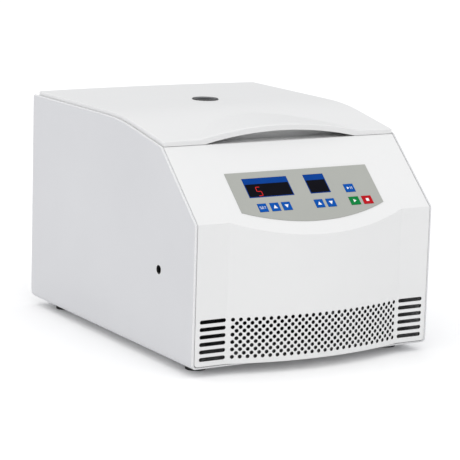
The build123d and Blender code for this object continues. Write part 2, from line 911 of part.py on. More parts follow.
# Shaft: through both bearings, a collar under the rotor, a taper in its hub, a thread for the nut
rotor_bottom_z = bowl_floor_z + bowl_wall + rotor_clearance
rotor_top_z = rotor_bottom_z + rotor_height
shaft_bottom_z = lower_bearing_z + running_fit

with BuildPart() as motor_shaft:
    with BuildSketch(rotor_plane):
        with BuildLine():
            Polyline(
                (0, shaft_bottom_z),
                (shaft_radius, shaft_bottom_z),
                (shaft_radius, bell_top_z),
                (hub_radius, bell_top_z + hub_radius - shaft_radius),
                (hub_radius, rotor_bottom_z),
                (shaft_tip_radius, rotor_top_z),
                (thread_radius, rotor_top_z),
                (thread_radius, rotor_top_z + thread_length),
                (0, rotor_top_z + thread_length),
                close=True,
            )
        make_face()
    revolve(axis=spin_axis)
motor_shaft.part.label = "motor_shaft"
export_step(motor_shaft.part, "parts/motor_shaft.step")

# Rubber boot between the end bell and the bowl's floor, clear of the shaft
with BuildPart() as shaft_boot:
    with BuildSketch(rotor_plane):
        with BuildLine():
            Polyline(
                (boot_radius, bell_top_z),
                (boot_radius + boot_flange, bell_top_z),
                (boot_radius + boot_flange, bell_top_z + boot_wall),
                (boot_radius + boot_wall, bell_top_z + boot_wall),
                (boot_radius + boot_wall, bowl_floor_z - boot_wall),
                (boot_radius + boot_flange, bowl_floor_z - boot_wall),
                (boot_radius + boot_flange, bowl_floor_z),
                (boot_radius, bowl_floor_z),
                close=True,
            )
        make_face()
    revolve(axis=spin_axis)
shaft_boot.part.label = "shaft_boot"
export_step(shaft_boot.part, "parts/shaft_boot.step")


# Fixed-angle rotor: a turned block with leaning round-bottomed pockets
rim_top_z = rotor_bottom_z + rotor_rim_height
tilt = radians(pocket_tilt)

with BuildPart() as rotor:
    with BuildSketch(rotor_plane):
        with BuildLine():
            Polyline(
                (hub_radius, rotor_bottom_z),
                (rotor_radius - rotor_chamfer, rotor_bottom_z),
                (rotor_radius, rotor_bottom_z + rotor_chamfer),
                (rotor_radius, rim_top_z),
                (rotor_top_radius, rotor_top_z),
                (shaft_tip_radius, rotor_top_z),
                close=True,
            )
        make_face()
    revolve(axis=spin_axis)
    for pocket in range(pocket_count):
        heading = radians(360.0 * pocket / pocket_count)
        outwards = Vector(cos(heading), sin(heading), 0)
        down_pocket = outwards * sin(tilt) - Vector(0, 0, cos(tilt))
        mouth = Vector(0, rotor_y, rotor_top_z) + outwards * pocket_mouth_radius
        mouth_plane = Plane(origin=mouth - down_pocket * pocket_radius, z_dir=down_pocket)
        with BuildSketch(mouth_plane):
            Circle(pocket_radius)
        extrude(amount=pocket_depth + pocket_radius, mode=Mode.SUBTRACT)
        with Locations(mouth + down_pocket * pocket_depth):
            Sphere(pocket_radius, mode=Mode.SUBTRACT)
rotor.part.label = "rotor"
export_step(rotor.part, "parts/rotor.step")

with BuildPart() as rotor_nut:
    with BuildSketch(Plane.XY.offset(rotor_top_z)):
        with Locations((0, rotor_y)):
            Circle(nut_radius)
            with PolarLocations(nut_radius + nut_grip_setback, nut_grips):
                Circle(nut_grip_radius, mode=Mode.SUBTRACT)
    extrude(amount=nut_height)
    chamfer(rotor_nut.faces().sort_by(Axis.Z)[-1].edges(), edge_round)
    with BuildSketch(Plane.XY.offset(rotor_top_z)):
        with Locations((0, rotor_y)):
            Circle(thread_radius)
    extrude(amount=thread_length, mode=Mode.SUBTRACT)
rotor_nut.part.label = "rotor_nut"
export_step(rotor_nut.part, "parts/rotor_nut.step")


# Lid: a crowned skin swept along the roof line, with a raised arched brow over the finger gap
lid_front_y = brow_y
lid_rear_y = rear_y - lid_rear_recess
lid_edge_z = top_z + lid_proud
lid_bend_y = roof_bend_y - lid_proud * tan(pitch_angle / 2)
lid_front_edge_z = lid_edge_z - (lid_bend_y - lid_front_y) * tan(pitch_angle)
lid_run_on = 2 * lid_proud
arch_radius = (arch_half_width**2 + arch_rise**2) / (2 * arch_rise)
arch_top_z = lid_front_edge_z + arch_rise
arch_centre_z = arch_top_z - arch_radius
rake = radians(arch_rake)


def lid_solid(inset, bottom_z):
    """Everything under the lid's outer surface and over bottom_z, with all outer faces moved in by inset."""
    half_width = panel_half_width - inset
    side_z = lid_edge_z - inset
    reach_down = lid_edge_z - bottom_z + wall
    radius = arch_radius - inset
    half_chord = sqrt(radius**2 - (arch_centre_z - bottom_z) ** 2)
    with BuildPart() as block:
        with BuildLine() as roof_line:
            FilletPolyline(
                (0, lid_rear_y, lid_edge_z),
                (0, lid_bend_y, lid_edge_z),
                (0, lid_front_y - lid_run_on, lid_front_edge_z - lid_run_on * tan(pitch_angle)),
                radius=roof_bend_radius,
            )
        with BuildSketch(plane_at_y(lid_rear_y)):
            with BuildLine():
                ThreePointArc((-half_width, side_z), (0, side_z + lid_crown), (half_width, side_z))
                Polyline(
                    (half_width, side_z),
                    (half_width, side_z - reach_down),
                    (-half_width, side_z - reach_down),
                    (-half_width, side_z),
                )
            make_face()
        sweep(path=roof_line.wires()[0])
        with BuildSketch(plane_at_y(lid_front_y)):
            with BuildLine():
                ThreePointArc((-half_chord, bottom_z), (0, arch_centre_z + radius), (half_chord, bottom_z))
                Line((half_chord, bottom_z), (-half_chord, bottom_z))
            make_face()
        extrude(amount=arch_run, dir=(0, cos(rake), sin(rake)))
        with Locations((0, lid_front_y + inset, bottom_z)):
            Box(
                2 * half_width,
                lid_rear_y - lid_front_y - 2 * inset,
                body_height,
                align=(Align.CENTER, Align.MIN, Align.MIN),
                mode=Mode.INTERSECT,
            )
    return block.part


lid_block = lid_solid(0, lid_bottom_z)
lid_walls = lid_block.faces().filter_by(GeomType.PLANE).sort_by(Axis.Z)
lid_rims = [edge for edge in lid_block.edges() if edge in lid_walls[1:].edges()]
lid_outside = lid_block.fillet(lid_edge_round, [edge for edge in lid_rims if edge not in lid_walls[0].edges()])
lid_inside = lid_solid(lid_skin, lid_bottom_z - fit)
liner_space = lid_solid(lid_skin + fit, liner_z)
finger_radius = (finger_half_width**2 + finger_rise**2) / (2 * finger_rise)
front_boss_y = lid_front_y + 2 * finger_depth
lid_bosses = [
    (side * lid_boss_x, y) for side in (-1, 1) for y in (front_boss_y, rotor_y, lid_rear_y - finger_depth)
]
lid_crest_z = lid_edge_z + lid_crown


def boss_top(y):
    """Height of the middle of the lid's skin over a boss at y."""
    fall = max(0.0, lid_bend_y - y) * tan(pitch_angle)
    return lid_edge_z - fall - lid_skin / 2


with BuildPart() as lid_shell:
    add(lid_outside)
    add(lid_inside, mode=Mode.SUBTRACT)
    with BuildSketch(plane_at_y(lid_front_y - wall)):
        with BuildLine():
            ThreePointArc(
                (-finger_half_width, lid_bottom_z),
                (0, lid_bottom_z + finger_rise),
                (finger_half_width, lid_bottom_z),
            )
            Polyline(
                (finger_half_width, lid_bottom_z),
                (finger_half_width, liner_z),
                (-finger_half_width, liner_z),
                (-finger_half_width, lid_bottom_z),
            )
        make_face()
    extrude(amount=-cut_through, mode=Mode.SUBTRACT)
    for boss_x, boss_y in lid_bosses:
        with Locations((boss_x, boss_y, liner_top_z)):
            boss_height = boss_top(boss_y) - liner_top_z
            Cylinder(lid_boss_radius, boss_height, align=(Align.CENTER, Align.CENTER, Align.MIN))
            Cylinder(
                screw_hole,
                screw_length,
                align=(Align.CENTER, Align.CENTER, Align.MIN),
                mode=Mode.SUBTRACT,
            )
    with Locations((0, rotor_y, lid_crest_z)):
        Cylinder(sight_tube_radius + running_fit, body_height, mode=Mode.SUBTRACT)
lid_shell.part.label = "lid_shell"
export_step(lid_shell.part, "parts/lid_shell.step")

# Liner: the lid's inner plate, with an upright front wall behind the finger gap
liner_front_y = lid_front_y + finger_depth

with BuildPart() as lid_liner:
    add(liner_space)
    with Locations((0, liner_front_y + liner_thickness, liner_top_z)):
        Box(
            body_width,
            body_depth,
            body_height,
            align=(Align.CENTER, Align.MIN, Align.MIN),
            mode=Mode.SUBTRACT,
        )
    with Locations((0, liner_front_y, 0)):
        Box(
            body_width,
            body_depth,
            clear_of_all,
            align=(Align.CENTER, Align.MAX, Align.CENTER),
            mode=Mode.SUBTRACT,
        )
    with Locations(*[(x, y, liner_z) for x, y in lid_bosses]):
        Cylinder(screw_hole, cut_through, mode=Mode.SUBTRACT)
    with Locations((0, rotor_y, liner_z)):
        Cylinder(sight_tube_radius + running_fit, cut_through, mode=Mode.SUBTRACT)
lid_liner.part.label = "lid_liner"
export_step(lid_liner.part, "parts/lid_liner.step")

# Sight glass in the lid over the rotor: a black bezel tube with a domed lens
with BuildPart() as sight_bezel:
    with BuildSketch(rotor_plane):
        with BuildLine():
            Polyline(
                (sight_lens_radius - sight_seat, liner_z),
                (sight_tube_radius, liner_z),
                (sight_tube_radius, lid_crest_z),
                (sight_radius, lid_crest_z),
                (sight_radius - sight_flange / 2, lid_crest_z + sight_flange),
                (sight_lens_radius, lid_crest_z + sight_flange),
                (sight_lens_radius, lid_crest_z),
                (sight_lens_radius - sight_seat, lid_crest_z),
                close=True,
            )
        make_face()
    revolve(axis=spin_axis)
sight_bezel.part.label = "sight_bezel"
export_step(sight_bezel.part, "parts/sight_bezel.step")

with BuildPart() as sight_window:
    with BuildSketch(rotor_plane):
        with BuildLine():
            lens_top_z = lid_crest_z + sight_flange
            Polyline(
                (0, lens_top_z + sight_dome),
                (0, lid_crest_z),
                (sight_lens_radius, lid_crest_z),
                (sight_lens_radius, lens_top_z),
            )
            dome_radius = (sight_lens_radius**2 + sight_dome**2) / (2 * sight_dome)
            RadiusArc((sight_lens_radius, lens_top_z), (0, lens_top_z + sight_dome), -dome_radius)
        make_face()
    revolve(axis=spin_axis)
sight_window.part.label = "sight_window"
export_step(sight_window.part, "parts/sight_window.step")


# Lid lock: striker on the lid, housing under the deck, sliding bolt and release lever
bolt_z = deck_top_z - bolt_drop
striker_window = 2 * (bolt_radius + striker_window_clearance)
striker_bottom_z = bolt_z - striker_tongue + striker_foot_thickness

with BuildPart() as lock_striker:
    with Locations((0, lock_y, liner_z)):
        Box(
            striker_foot,
            striker_width,
            striker_foot_thickness,
            align=(Align.CENTER, Align.CENTER, Align.MAX),
        )
        Box(
            striker_thickness,
            striker_width,
            liner_z - striker_bottom_z,
            align=(Align.CENTER, Align.CENTER, Align.MAX),
        )
    with BuildSketch(Plane.YZ):
        with Locations((lock_y, bolt_z)):
            Rectangle(striker_window, striker_window)
    extrude(amount=striker_thickness, both=True, mode=Mode.SUBTRACT)
lock_striker.part.label = "lock_striker"
export_step(lock_striker.part, "parts/lock_striker.step")

with BuildPart() as lock_housing:
    with Locations((0, lock_y, deck_bottom_z)):
        Box(lock_width, lock_depth, lock_height, align=(Align.CENTER, Align.CENTER, Align.MAX))
        Box(*striker_slot, 2 * (lock_height - wall), mode=Mode.SUBTRACT)
    with BuildSketch(Plane.YZ.offset(-lock_width)):
        with Locations((lock_y, bolt_z)):
            Circle(bolt_radius + running_fit)
    extrude(amount=lock_width + striker_slot[0] / 2 + bolt_travel, mode=Mode.SUBTRACT)
lock_housing.part.label = "lock_housing"
export_step(lock_housing.part, "parts/lock_housing.step")

# Bolt: a long rod from the lever to the lock; at rest its tip is clear of the striker
bolt_tip_x = -striker_thickness / 2 - striker_gap / 2
bolt_tail_x = lever_x - lever_width / 2
upper_arm_y = lock_y - bolt_radius - cross_pin_radius - lever_thickness / 2
cross_pin_length = lock_y - upper_arm_y + lever_thickness

with BuildPart() as lock_bolt:
    with BuildSketch(Plane.YZ.offset(bolt_tail_x)):
        with Locations((lock_y, bolt_z)):
            Circle(bolt_radius)
    extrude(amount=bolt_tip_x - bolt_tail_x)
    chamfer(lock_bolt.faces().sort_by(Axis.X)[-1].edges(), edge_round)
    with BuildSketch(plane_at_y(lock_y)):
        with Locations((lever_x, bolt_z)):
            Circle(cross_pin_radius)
    extrude(amount=cross_pin_length)
lock_bolt.part.label = "lock_bolt"
export_step(lock_bolt.part, "parts/lock_bolt.step")

# Release lever: a cross shaft with a lower arm behind the side hole and an upper forked arm
lever_z = (bolt_z + release_z) / 2
fork_gap = cross_pin_radius + fork_clearance
lower_arm_plane = plane_at_y(release_y + lever_thickness / 2)
upper_arm_plane = plane_at_y(upper_arm_y + lever_thickness / 2)

with BuildPart() as release_lever:
    with BuildSketch(lower_arm_plane):
        with Locations((lever_x, lever_z)):
            Circle(lever_width / 2)
        with Locations((lever_x, release_z)):
            Circle(lever_width / 2)
        with Locations((lever_x, (lever_z + release_z) / 2)):
            Rectangle(lever_width, lever_z - release_z)
    extrude(amount=lever_thickness)
    with BuildSketch(upper_arm_plane):
        with Locations((lever_x, lever_z)):
            Circle(lever_width / 2)
        with Locations((lever_x, lever_z)):
            Rectangle(
                lever_width,
                bolt_z - lever_z + cross_pin_radius + fork_clearance,
                align=(Align.CENTER, Align.MIN),
            )
        with Locations((lever_x, bolt_z)):
            Circle(fork_gap, mode=Mode.SUBTRACT)
            Rectangle(2 * fork_gap, lever_width, align=(Align.CENTER, Align.MIN), mode=Mode.SUBTRACT)
    extrude(amount=lever_thickness)
    with BuildSketch(lower_arm_plane):
        with Locations((lever_x, lever_z)):
            Circle(lever_shaft_radius)
    extrude(amount=-(upper_arm_y - release_y))
release_lever.part.label = "release_lever"
export_step(release_lever.part, "parts/release_lever.step")

bracket_y = (release_y + upper_arm_y) / 2
bracket_right_x = lever_x + lever_width / 2

with BuildPart() as lever_bracket:
    with BuildSketch(plane_at_y(bracket_y)):
        with BuildLine():
            Polyline(
                (-inner_half_width, lever_z - lever_width),
                (bracket_right_x, lever_z - lever_width / 2),
                (bracket_right_x, lever_z + lever_width / 2),
                (-inner_half_width, lever_z + lever_width),
                close=True,
            )
        make_face()
        with Locations((lever_x, lever_z)):
            Circle(lever_shaft_radius + running_fit, mode=Mode.SUBTRACT)
    extrude(amount=bracket_length / 2, both=True)
lever_bracket.part.label = "lever_bracket"
export_step(lever_bracket.part, "parts/lever_bracket.step")

# Grommet lining the release hole in the left side panel
grommet_bore = release_hole_radius - grommet_wall

with BuildPart() as release_grommet:
    with BuildSketch(Plane.YZ.offset(-body_width / 2)):
        with Locations((release_y, release_z)):
            Circle(release_hole_radius)
            Circle(grommet_bore, mode=Mode.SUBTRACT)
    extrude(amount=wall)
    with BuildSketch(Plane.YZ.offset(-inner_half_width)):
        with Locations((release_y, release_z)):
            Circle(release_hole_radius + grommet_rim)
            Circle(grommet_bore, mode=Mode.SUBTRACT)
    extrude(amount=grommet_lip)
release_grommet.part.label = "release_grommet"
export_step(release_grommet.part, "parts/release_grommet.step")


# Lid hinge: two brackets on the deck, two arms under the liner, a pin through each
hinge_y = rear_y - hinge_setback
hinge_z = deck_top_z + hinge_rise
hinge_centres = (-hinge_x, hinge_x)
leaf_front_y = rear_panel_y - hinge_leaf_length
outer_barrel = hinge_half_length - knuckle_half_length - knuckle_gap
outer_barrel_x = (hinge_half_length + knuckle_half_length + knuckle_gap) / 2

with BuildPart() as hinge_brackets:
    for centre_x in hinge_centres:
        with Locations((centre_x, leaf_front_y, deck_top_z)):
            Box(
                2 * hinge_half_length,
                rear_panel_y - leaf_front_y,
                hinge_leaf,
                align=(Align.CENTER, Align.MIN, Align.MIN),
            )
        for side in (-1, 1):
            with Locations((centre_x + side * outer_barrel_x, rear_panel_y, deck_top_z)):
                Box(
                    outer_barrel,
                    2 * (hinge_y - rear_panel_y),
                    2 * hinge_leaf,
                    align=(Align.CENTER, Align.CENTER, Align.MIN),
                )
            with Locations((centre_x + side * outer_barrel_x, hinge_y, hinge_z)):
                Cylinder(barrel_radius, outer_barrel, rotation=(0, 90, 0))
        with Locations((centre_x, hinge_y, hinge_z)):
            Cylinder(
                hinge_pin_radius + running_fit,
                2 * hinge_half_length,
                rotation=(0, 90, 0),
                mode=Mode.SUBTRACT,
            )
hinge_brackets.part.label = "hinge_brackets"
export_step(hinge_brackets.part, "parts/hinge_brackets.step")

arm_leaf_bottom_z = deck_top_z + hinge_leaf + fit

with BuildPart() as lid_hinge_arms:
    for centre_x in hinge_centres:
        with Locations((centre_x, leaf_front_y, arm_leaf_bottom_z)):
            Box(
                2 * knuckle_half_length,
                hinge_y - leaf_front_y,
                liner_z - arm_leaf_bottom_z,
                align=(Align.CENTER, Align.MIN, Align.MIN),
            )
        with Locations((centre_x, hinge_y, hinge_z)):
            Cylinder(barrel_radius, 2 * knuckle_half_length, rotation=(0, 90, 0))
            Cylinder(
                hinge_pin_radius + running_fit,
                2 * knuckle_half_length,
                rotation=(0, 90, 0),
                mode=Mode.SUBTRACT,
            )
lid_hinge_arms.part.label = "lid_hinge_arms"
export_step(lid_hinge_arms.part, "parts/lid_hinge_arms.step")

with BuildPart() as hinge_pins:
    with Locations(*[(x, hinge_y, hinge_z) for x in hinge_centres]):
        Cylinder(hinge_pin_radius, 2 * hinge_half_length + 2 * knuckle_gap, rotation=(0, 90, 0))
hinge_pins.part.label = "hinge_pins"
export_step(hinge_pins.part, "parts/hinge_pins.step")


# Rear panel with fan opening, inlet and switch cut-outs
rear_panel_bottom_z = floor_top_z + fit
rear_panel_top_z = deck_bottom_z

with BuildPart() as rear_panel:
    with BuildSketch(plane_at_y(rear_face_y)):
        with Locations((0, rear_panel_bottom_z)):
            Rectangle(
                2 * (inner_half_width - fit),
                rear_panel_top_z - rear_panel_bottom_z,
                align=(Align.CENTER, Align.MIN),
            )
        with Locations((fan_x, fan_z)):
            Circle(fan_bore, mode=Mode.SUBTRACT)
            with GridLocations(fan_screw_pitch, fan_screw_pitch, 2, 2):
                Circle(screw_hole, mode=Mode.SUBTRACT)
        with Locations((inlet_x, inlet_z)):
            Rectangle(inlet_width + fit, inlet_tall + fit, mode=Mode.SUBTRACT)
        with Locations((switch_x, switch_z)):
            Rectangle(switch_width + fit, switch_tall + fit, mode=Mode.SUBTRACT)
        with Locations(*rear_screw_places):
            Circle(screw_hole, mode=Mode.SUBTRACT)
    extrude(amount=rear_panel_thickness)
    # Bottom corners follow the bends of the wrap
    fillet(rear_panel.edges().filter_by(Axis.Y).group_by(Axis.Z)[0], wrap_bend - wall)
rear_panel.part.label = "rear_panel"
export_step(rear_panel.part, "parts/rear_panel.step")


# Axial fan behind the rear panel: frame with four struts and a hub pin, impeller, guard and screws
fan_front_y = rear_panel_y - fan_thickness
impeller_depth = fan_thickness - strut_thickness - 2 * fan_tip_gap

with BuildPart() as fan_frame:
    with BuildSketch(plane_at_y(rear_panel_y)):
        with Locations((fan_x, fan_z)):
            RectangleRounded(fan_size, fan_size, small_corner_radius)
            Circle(fan_bore, mode=Mode.SUBTRACT)
            with GridLocations(fan_screw_pitch, fan_screw_pitch, 2, 2):
                Circle(screw_hole, mode=Mode.SUBTRACT)
    extrude(amount=fan_thickness)
    with BuildSketch(plane_at_y(fan_front_y)):
        with Locations((fan_x, fan_z)):
            Circle(fan_hub)
            for strut_angle in fan_diagonals:
                Rectangle(2 * fan_bore + hub_wall, strut_width, rotation=strut_angle)
    extrude(amount=-strut_thickness)
    with BuildSketch(plane_at_y(fan_front_y)):
        with Locations((fan_x, fan_z)):
            Circle(fan_pin_radius)
    extrude(amount=-(fan_thickness - 2 * fan_tip_gap - hub_wall))
fan_frame.part.label = "fan_frame"
export_step(fan_frame.part, "parts/fan_frame.step")

impeller_front_y = fan_front_y + strut_thickness + fan_tip_gap
impeller_middle_y = impeller_front_y + impeller_depth / 2
blade_tip = fan_bore - fan_tip_gap
blade_root = fan_hub - hub_wall
fan_axis_plane = plane_at_y(impeller_front_y)

with BuildPart() as fan_impeller:
    blade_middle = (blade_tip + blade_root) / 2
    blade_chord = (impeller_depth - 2 * fan_tip_gap) / sin(radians(fan_blade_pitch))
    for blade in range(fan_blades):
        turn = 360.0 * blade / fan_blades
        reach = Vector(cos(radians(turn)), 0, sin(radians(turn)))
        middle = Vector(fan_x, impeller_middle_y, fan_z) + reach * blade_middle
        chord = Vector(0, 1, 0).rotate(Axis((0, 0, 0), tuple(reach)), 90 - fan_blade_pitch)
        with BuildSketch(Plane(origin=middle, x_dir=chord, z_dir=reach)):
            Rectangle(blade_chord, fan_blade_thickness)
        extrude(amount=(blade_tip - blade_root) / 2, both=True)
    with BuildSketch(fan_axis_plane):
        with Locations((fan_x, fan_z)):
            Circle(fan_hub)
    extrude(amount=-impeller_depth)
    with BuildSketch(fan_axis_plane):
        with Locations((fan_x, fan_z)):
            Circle(blade_tip)
    extrude(amount=-impeller_depth, mode=Mode.INTERSECT)
    with BuildSketch(fan_axis_plane):
        with Locations((fan_x, fan_z)):
            Circle(fan_pin_radius + running_fit)
    extrude(amount=-(impeller_depth - hub_wall), mode=Mode.SUBTRACT)
fan_impeller.part.label = "fan_impeller"
export_step(fan_impeller.part, "parts/fan_impeller.step")

# Guard: round wires welded on two crossing wires, with an eye at each screw
guard_plane = plane_at_y(rear_face_y)
eye_circle = fan_screw_pitch * sqrt(2)
ring_y = rear_face_y + guard_ring_lift

with BuildPart() as fan_guard:
    for ring in range(1, guard_rings + 1):
        ring_radius = fan_bore * ring / guard_rings
        with BuildSketch(Plane.XY.offset(fan_z)):
            with Locations((fan_x + ring_radius, ring_y)):
                Circle(guard_wire)
        revolve(axis=Axis((fan_x, 0, fan_z), (0, 1, 0)))
    for wire_angle in fan_diagonals:
        with Locations((fan_x, rear_face_y + guard_wire, fan_z)):
            Cylinder(guard_wire, eye_circle - 2 * screw_head_radius, rotation=(0, wire_angle, 0))
    with BuildSketch(guard_plane):
        with Locations((fan_x, fan_z)):
            with GridLocations(fan_screw_pitch, fan_screw_pitch, 2, 2):
                Circle(screw_head_radius + guard_wire)
                Circle(screw_hole, mode=Mode.SUBTRACT)
    extrude(amount=-guard_wire)
fan_guard.part.label = "fan_guard"
export_step(fan_guard.part, "parts/fan_guard.step")


def cap_screw(plane, places):
    """Socket-head screws with their heads standing on the plane, at the given places on it."""
    with BuildPart() as screws:
        with BuildSketch(plane):
            with Locations(*places):
                Circle(screw_head_radius)
        extrude(amount=screw_head_height)
        fillet(screws.faces().group_by(Axis(plane.origin, plane.z_dir))[-1].edges(), edge_round / 2)
        with BuildSketch(plane.offset(screw_head_height)):
            with Locations(*places):
                RegularPolygon(socket_radius, 6)
        extrude(amount=-socket_depth, mode=Mode.SUBTRACT)
        with BuildSketch(plane):
            with Locations(*places):
                Circle(screw_radius)
        extrude(amount=-screw_length)
    return screws.part


# Faces that the screws stand on: each plane's normal points at the screw heads
rear_outside = Plane(origin=(0, rear_face_y, 0), x_dir=(-1, 0, 0), z_dir=(0, 1, 0))
guard_outside_face = rear_outside.offset(guard_wire)
deck_outside = Plane.XY.offset(deck_top_z)
floor_recess = Plane(origin=(0, 0, foot_height / 2), x_dir=(1, 0, 0), z_dir=(0, 0, -1))
liner_outside = Plane(origin=(0, 0, liner_z), x_dir=(1, 0, 0), z_dir=(0, 0, -1))
half_pitch = fan_screw_pitch / 2
fan_screw_places = [
    (-(fan_x + side * half_pitch), fan_z + end * half_pitch) for side in (-1, 1) for end in (-1, 1)
]

with BuildPart() as fan_screws:
    add(cap_screw(guard_outside_face, fan_screw_places))
fan_screws.part.label = "fan_screws"
export_step(fan_screws.part, "parts/fan_screws.step")

with BuildPart() as panel_screws:
    add(cap_screw(rear_outside, [(-x, z) for x, z in rear_screw_places]))
    add(cap_screw(deck_outside, deck_screw_places))
panel_screws.part.label = "panel_screws"
export_step(panel_screws.part, "parts/panel_screws.step")

with BuildPart() as lid_screws:
    add(cap_screw(liner_outside, [(x, -y) for x, y in lid_bosses]))
lid_screws.part.label = "lid_screws"
export_step(lid_screws.part, "parts/lid_screws.step")


# Feet: rubber pucks with a pocket below for the screw head
with BuildPart() as feet:
    with BuildSketch(Plane.XY.offset(floor_z)):
        with Locations(*foot_places):
            Circle(foot_radius)
    extrude(amount=-foot_height, taper=foot_taper)
    with BuildSketch(Plane.XY):
        with Locations(*foot_places):
            Circle(screw_head_radius + fit)
    extrude(amount=foot_height / 2, mode=Mode.SUBTRACT)
    with BuildSketch(Plane.XY):
        with Locations(*foot_places):
            Circle(screw_hole)
    extrude(amount=foot_height, mode=Mode.SUBTRACT)
feet.part.label = "feet"
export_step(feet.part, "parts/feet.step")

with BuildPart() as foot_screws:
    add(cap_screw(floor_recess, [(x, -y) for x, y in foot_places]))
foot_screws.part.label = "foot_screws"
export_step(foot_screws.part, "parts/foot_screws.step")


# Appliance inlet: a flanged body with a socket recess and three pins
inlet_hole_width = inlet_width - 2 * inlet_wall
inlet_hole_tall = inlet_tall - 2 * inlet_wall
pin_places = [
    (-inlet_pin_pitch, -inlet_pin_tall / 2),
    (0, inlet_pin_tall / 2),
    (inlet_pin_pitch, -inlet_pin_tall / 2),
]
inlet_places = [(inlet_x + x, inlet_z + z) for x, z in pin_places]
socket_bottom_y = rear_face_y + flange_thickness - inlet_socket_depth

with BuildPart() as power_inlet:
    with BuildSketch(plane_at_y(rear_face_y)):
        with Locations((inlet_x, inlet_z)):
            RectangleRounded(inlet_width + 2 * inlet_flange, inlet_tall + 2 * inlet_flange, inlet_wall)
    extrude(amount=-flange_thickness)
    with BuildSketch(plane_at_y(rear_face_y)):
        with Locations((inlet_x, inlet_z)):
            Rectangle(inlet_width, inlet_tall)
    extrude(amount=inlet_depth)
    with BuildSketch(plane_at_y(rear_face_y + flange_thickness)) as socket:
        with Locations((inlet_x, inlet_z)):
            Rectangle(inlet_hole_width, inlet_hole_tall)
        chamfer(socket.vertices().group_by(Axis.Y)[-1], inlet_corner)
    extrude(amount=inlet_socket_depth, mode=Mode.SUBTRACT)
    with BuildSketch(plane_at_y(socket_bottom_y)):
        with Locations(*inlet_places):
            Rectangle(inlet_pin_width, inlet_pin_tall)
    extrude(amount=inlet_wall, mode=Mode.SUBTRACT)
power_inlet.part.label = "power_inlet"
export_step(power_inlet.part, "parts/power_inlet.step")

with BuildPart() as inlet_pins:
    with BuildSketch(plane_at_y(socket_bottom_y - inlet_wall)):
        with Locations(*inlet_places):
            Rectangle(inlet_pin_width, inlet_pin_tall)
    extrude(amount=-inlet_pin_length)
inlet_pins.part.label = "inlet_pins"
export_step(inlet_pins.part, "parts/inlet_pins.step")


# Power switch: a snap-in frame and a rocker on a pivot pin, at rest pressed in at one end
switch_hole_width = switch_width - 2 * switch_wall
switch_hole_tall = switch_tall - 2 * switch_wall
rocker_pivot_y = rear_face_y - 2 * switch_wall
rocker_angle = radians(rocker_tilt)
rocker_face = 2 * switch_wall + flange_thickness + rocker_gap
rocker_reach = rocker_face + switch_hole_tall / 2 * tan(rocker_angle)
rocker_half_tall = switch_hole_tall / 2 - rocker_gap - rocker_reach * sin(rocker_angle)
rocker_lift = rocker_half_tall * tan(rocker_angle)
rocker_plane = Plane(
    origin=(switch_x, rocker_pivot_y, switch_z),
    x_dir=(0, cos(rocker_angle), -sin(rocker_angle)),
    z_dir=(1, 0, 0),
)

with BuildPart() as switch_frame:
    with BuildSketch(plane_at_y(rear_face_y)):
        with Locations((switch_x, switch_z)):
            RectangleRounded(switch_width + 2 * switch_flange, switch_tall + 2 * switch_flange, switch_wall)
    extrude(amount=-flange_thickness)
    with BuildSketch(plane_at_y(rear_face_y)):
        with Locations((switch_x, switch_z)):
            Rectangle(switch_width, switch_tall)
    extrude(amount=switch_depth)
    with BuildSketch(plane_at_y(rear_face_y + flange_thickness)):
        with Locations((switch_x, switch_z)):
            Rectangle(switch_hole_width, switch_hole_tall)
    extrude(amount=switch_depth + flange_thickness - switch_wall, mode=Mode.SUBTRACT)
    with Locations((switch_x, rocker_pivot_y, switch_z)):
        Cylinder(rocker_pivot_radius, switch_width - switch_wall, rotation=(0, 90, 0))
switch_frame.part.label = "switch_frame"
export_step(switch_frame.part, "parts/switch_frame.step")

with BuildPart() as power_rocker:
    with BuildSketch(rocker_plane):
        with BuildLine():
            Polyline(
                (rocker_face, 0),
                (rocker_face + rocker_lift, rocker_half_tall),
                (0, rocker_half_tall),
                (-2 * switch_wall, 0),
                (0, -rocker_half_tall),
                (rocker_face + rocker_lift, -rocker_half_tall),
                close=True,
            )
        make_face()
        Circle(rocker_pivot_radius + running_fit, mode=Mode.SUBTRACT)
    extrude(amount=switch_hole_width / 2 - rocker_gap, both=True)
power_rocker.part.label = "power_rocker"
export_step(power_rocker.part, "parts/power_rocker.step")
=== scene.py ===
# %% [markdown]
# # A benchtop centrifuge, dressed for a studio picture
#
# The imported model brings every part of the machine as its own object, in metres, with the bench
# at z = 0 and the front towards -Y. This lesson gives those parts their real finishes, adds the
# thin printed and lit details that a solid model leaves out, and sets the studio.

# %% Load the machine
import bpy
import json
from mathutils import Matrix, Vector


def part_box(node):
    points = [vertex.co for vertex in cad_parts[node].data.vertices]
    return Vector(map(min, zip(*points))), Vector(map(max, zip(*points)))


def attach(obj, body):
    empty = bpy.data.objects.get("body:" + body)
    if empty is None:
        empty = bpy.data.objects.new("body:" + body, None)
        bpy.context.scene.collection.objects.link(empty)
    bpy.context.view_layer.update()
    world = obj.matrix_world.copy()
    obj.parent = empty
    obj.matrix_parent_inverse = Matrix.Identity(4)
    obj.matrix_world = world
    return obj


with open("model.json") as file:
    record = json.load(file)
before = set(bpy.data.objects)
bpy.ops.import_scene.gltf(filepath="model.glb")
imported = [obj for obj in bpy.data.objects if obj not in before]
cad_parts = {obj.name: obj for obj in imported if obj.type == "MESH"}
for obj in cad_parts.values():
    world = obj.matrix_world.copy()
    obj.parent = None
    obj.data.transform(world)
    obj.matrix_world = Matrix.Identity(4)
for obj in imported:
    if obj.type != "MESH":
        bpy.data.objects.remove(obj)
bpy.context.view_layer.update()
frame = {"nodes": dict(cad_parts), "record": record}

# %% Bring in the tools
import json
from math import atan2, cos, degrees, radians, sin, tau

import bpy
import numpy as np
from mathutils import Quaternion, Vector

print("tools ready in Blender", bpy.app.version_string)

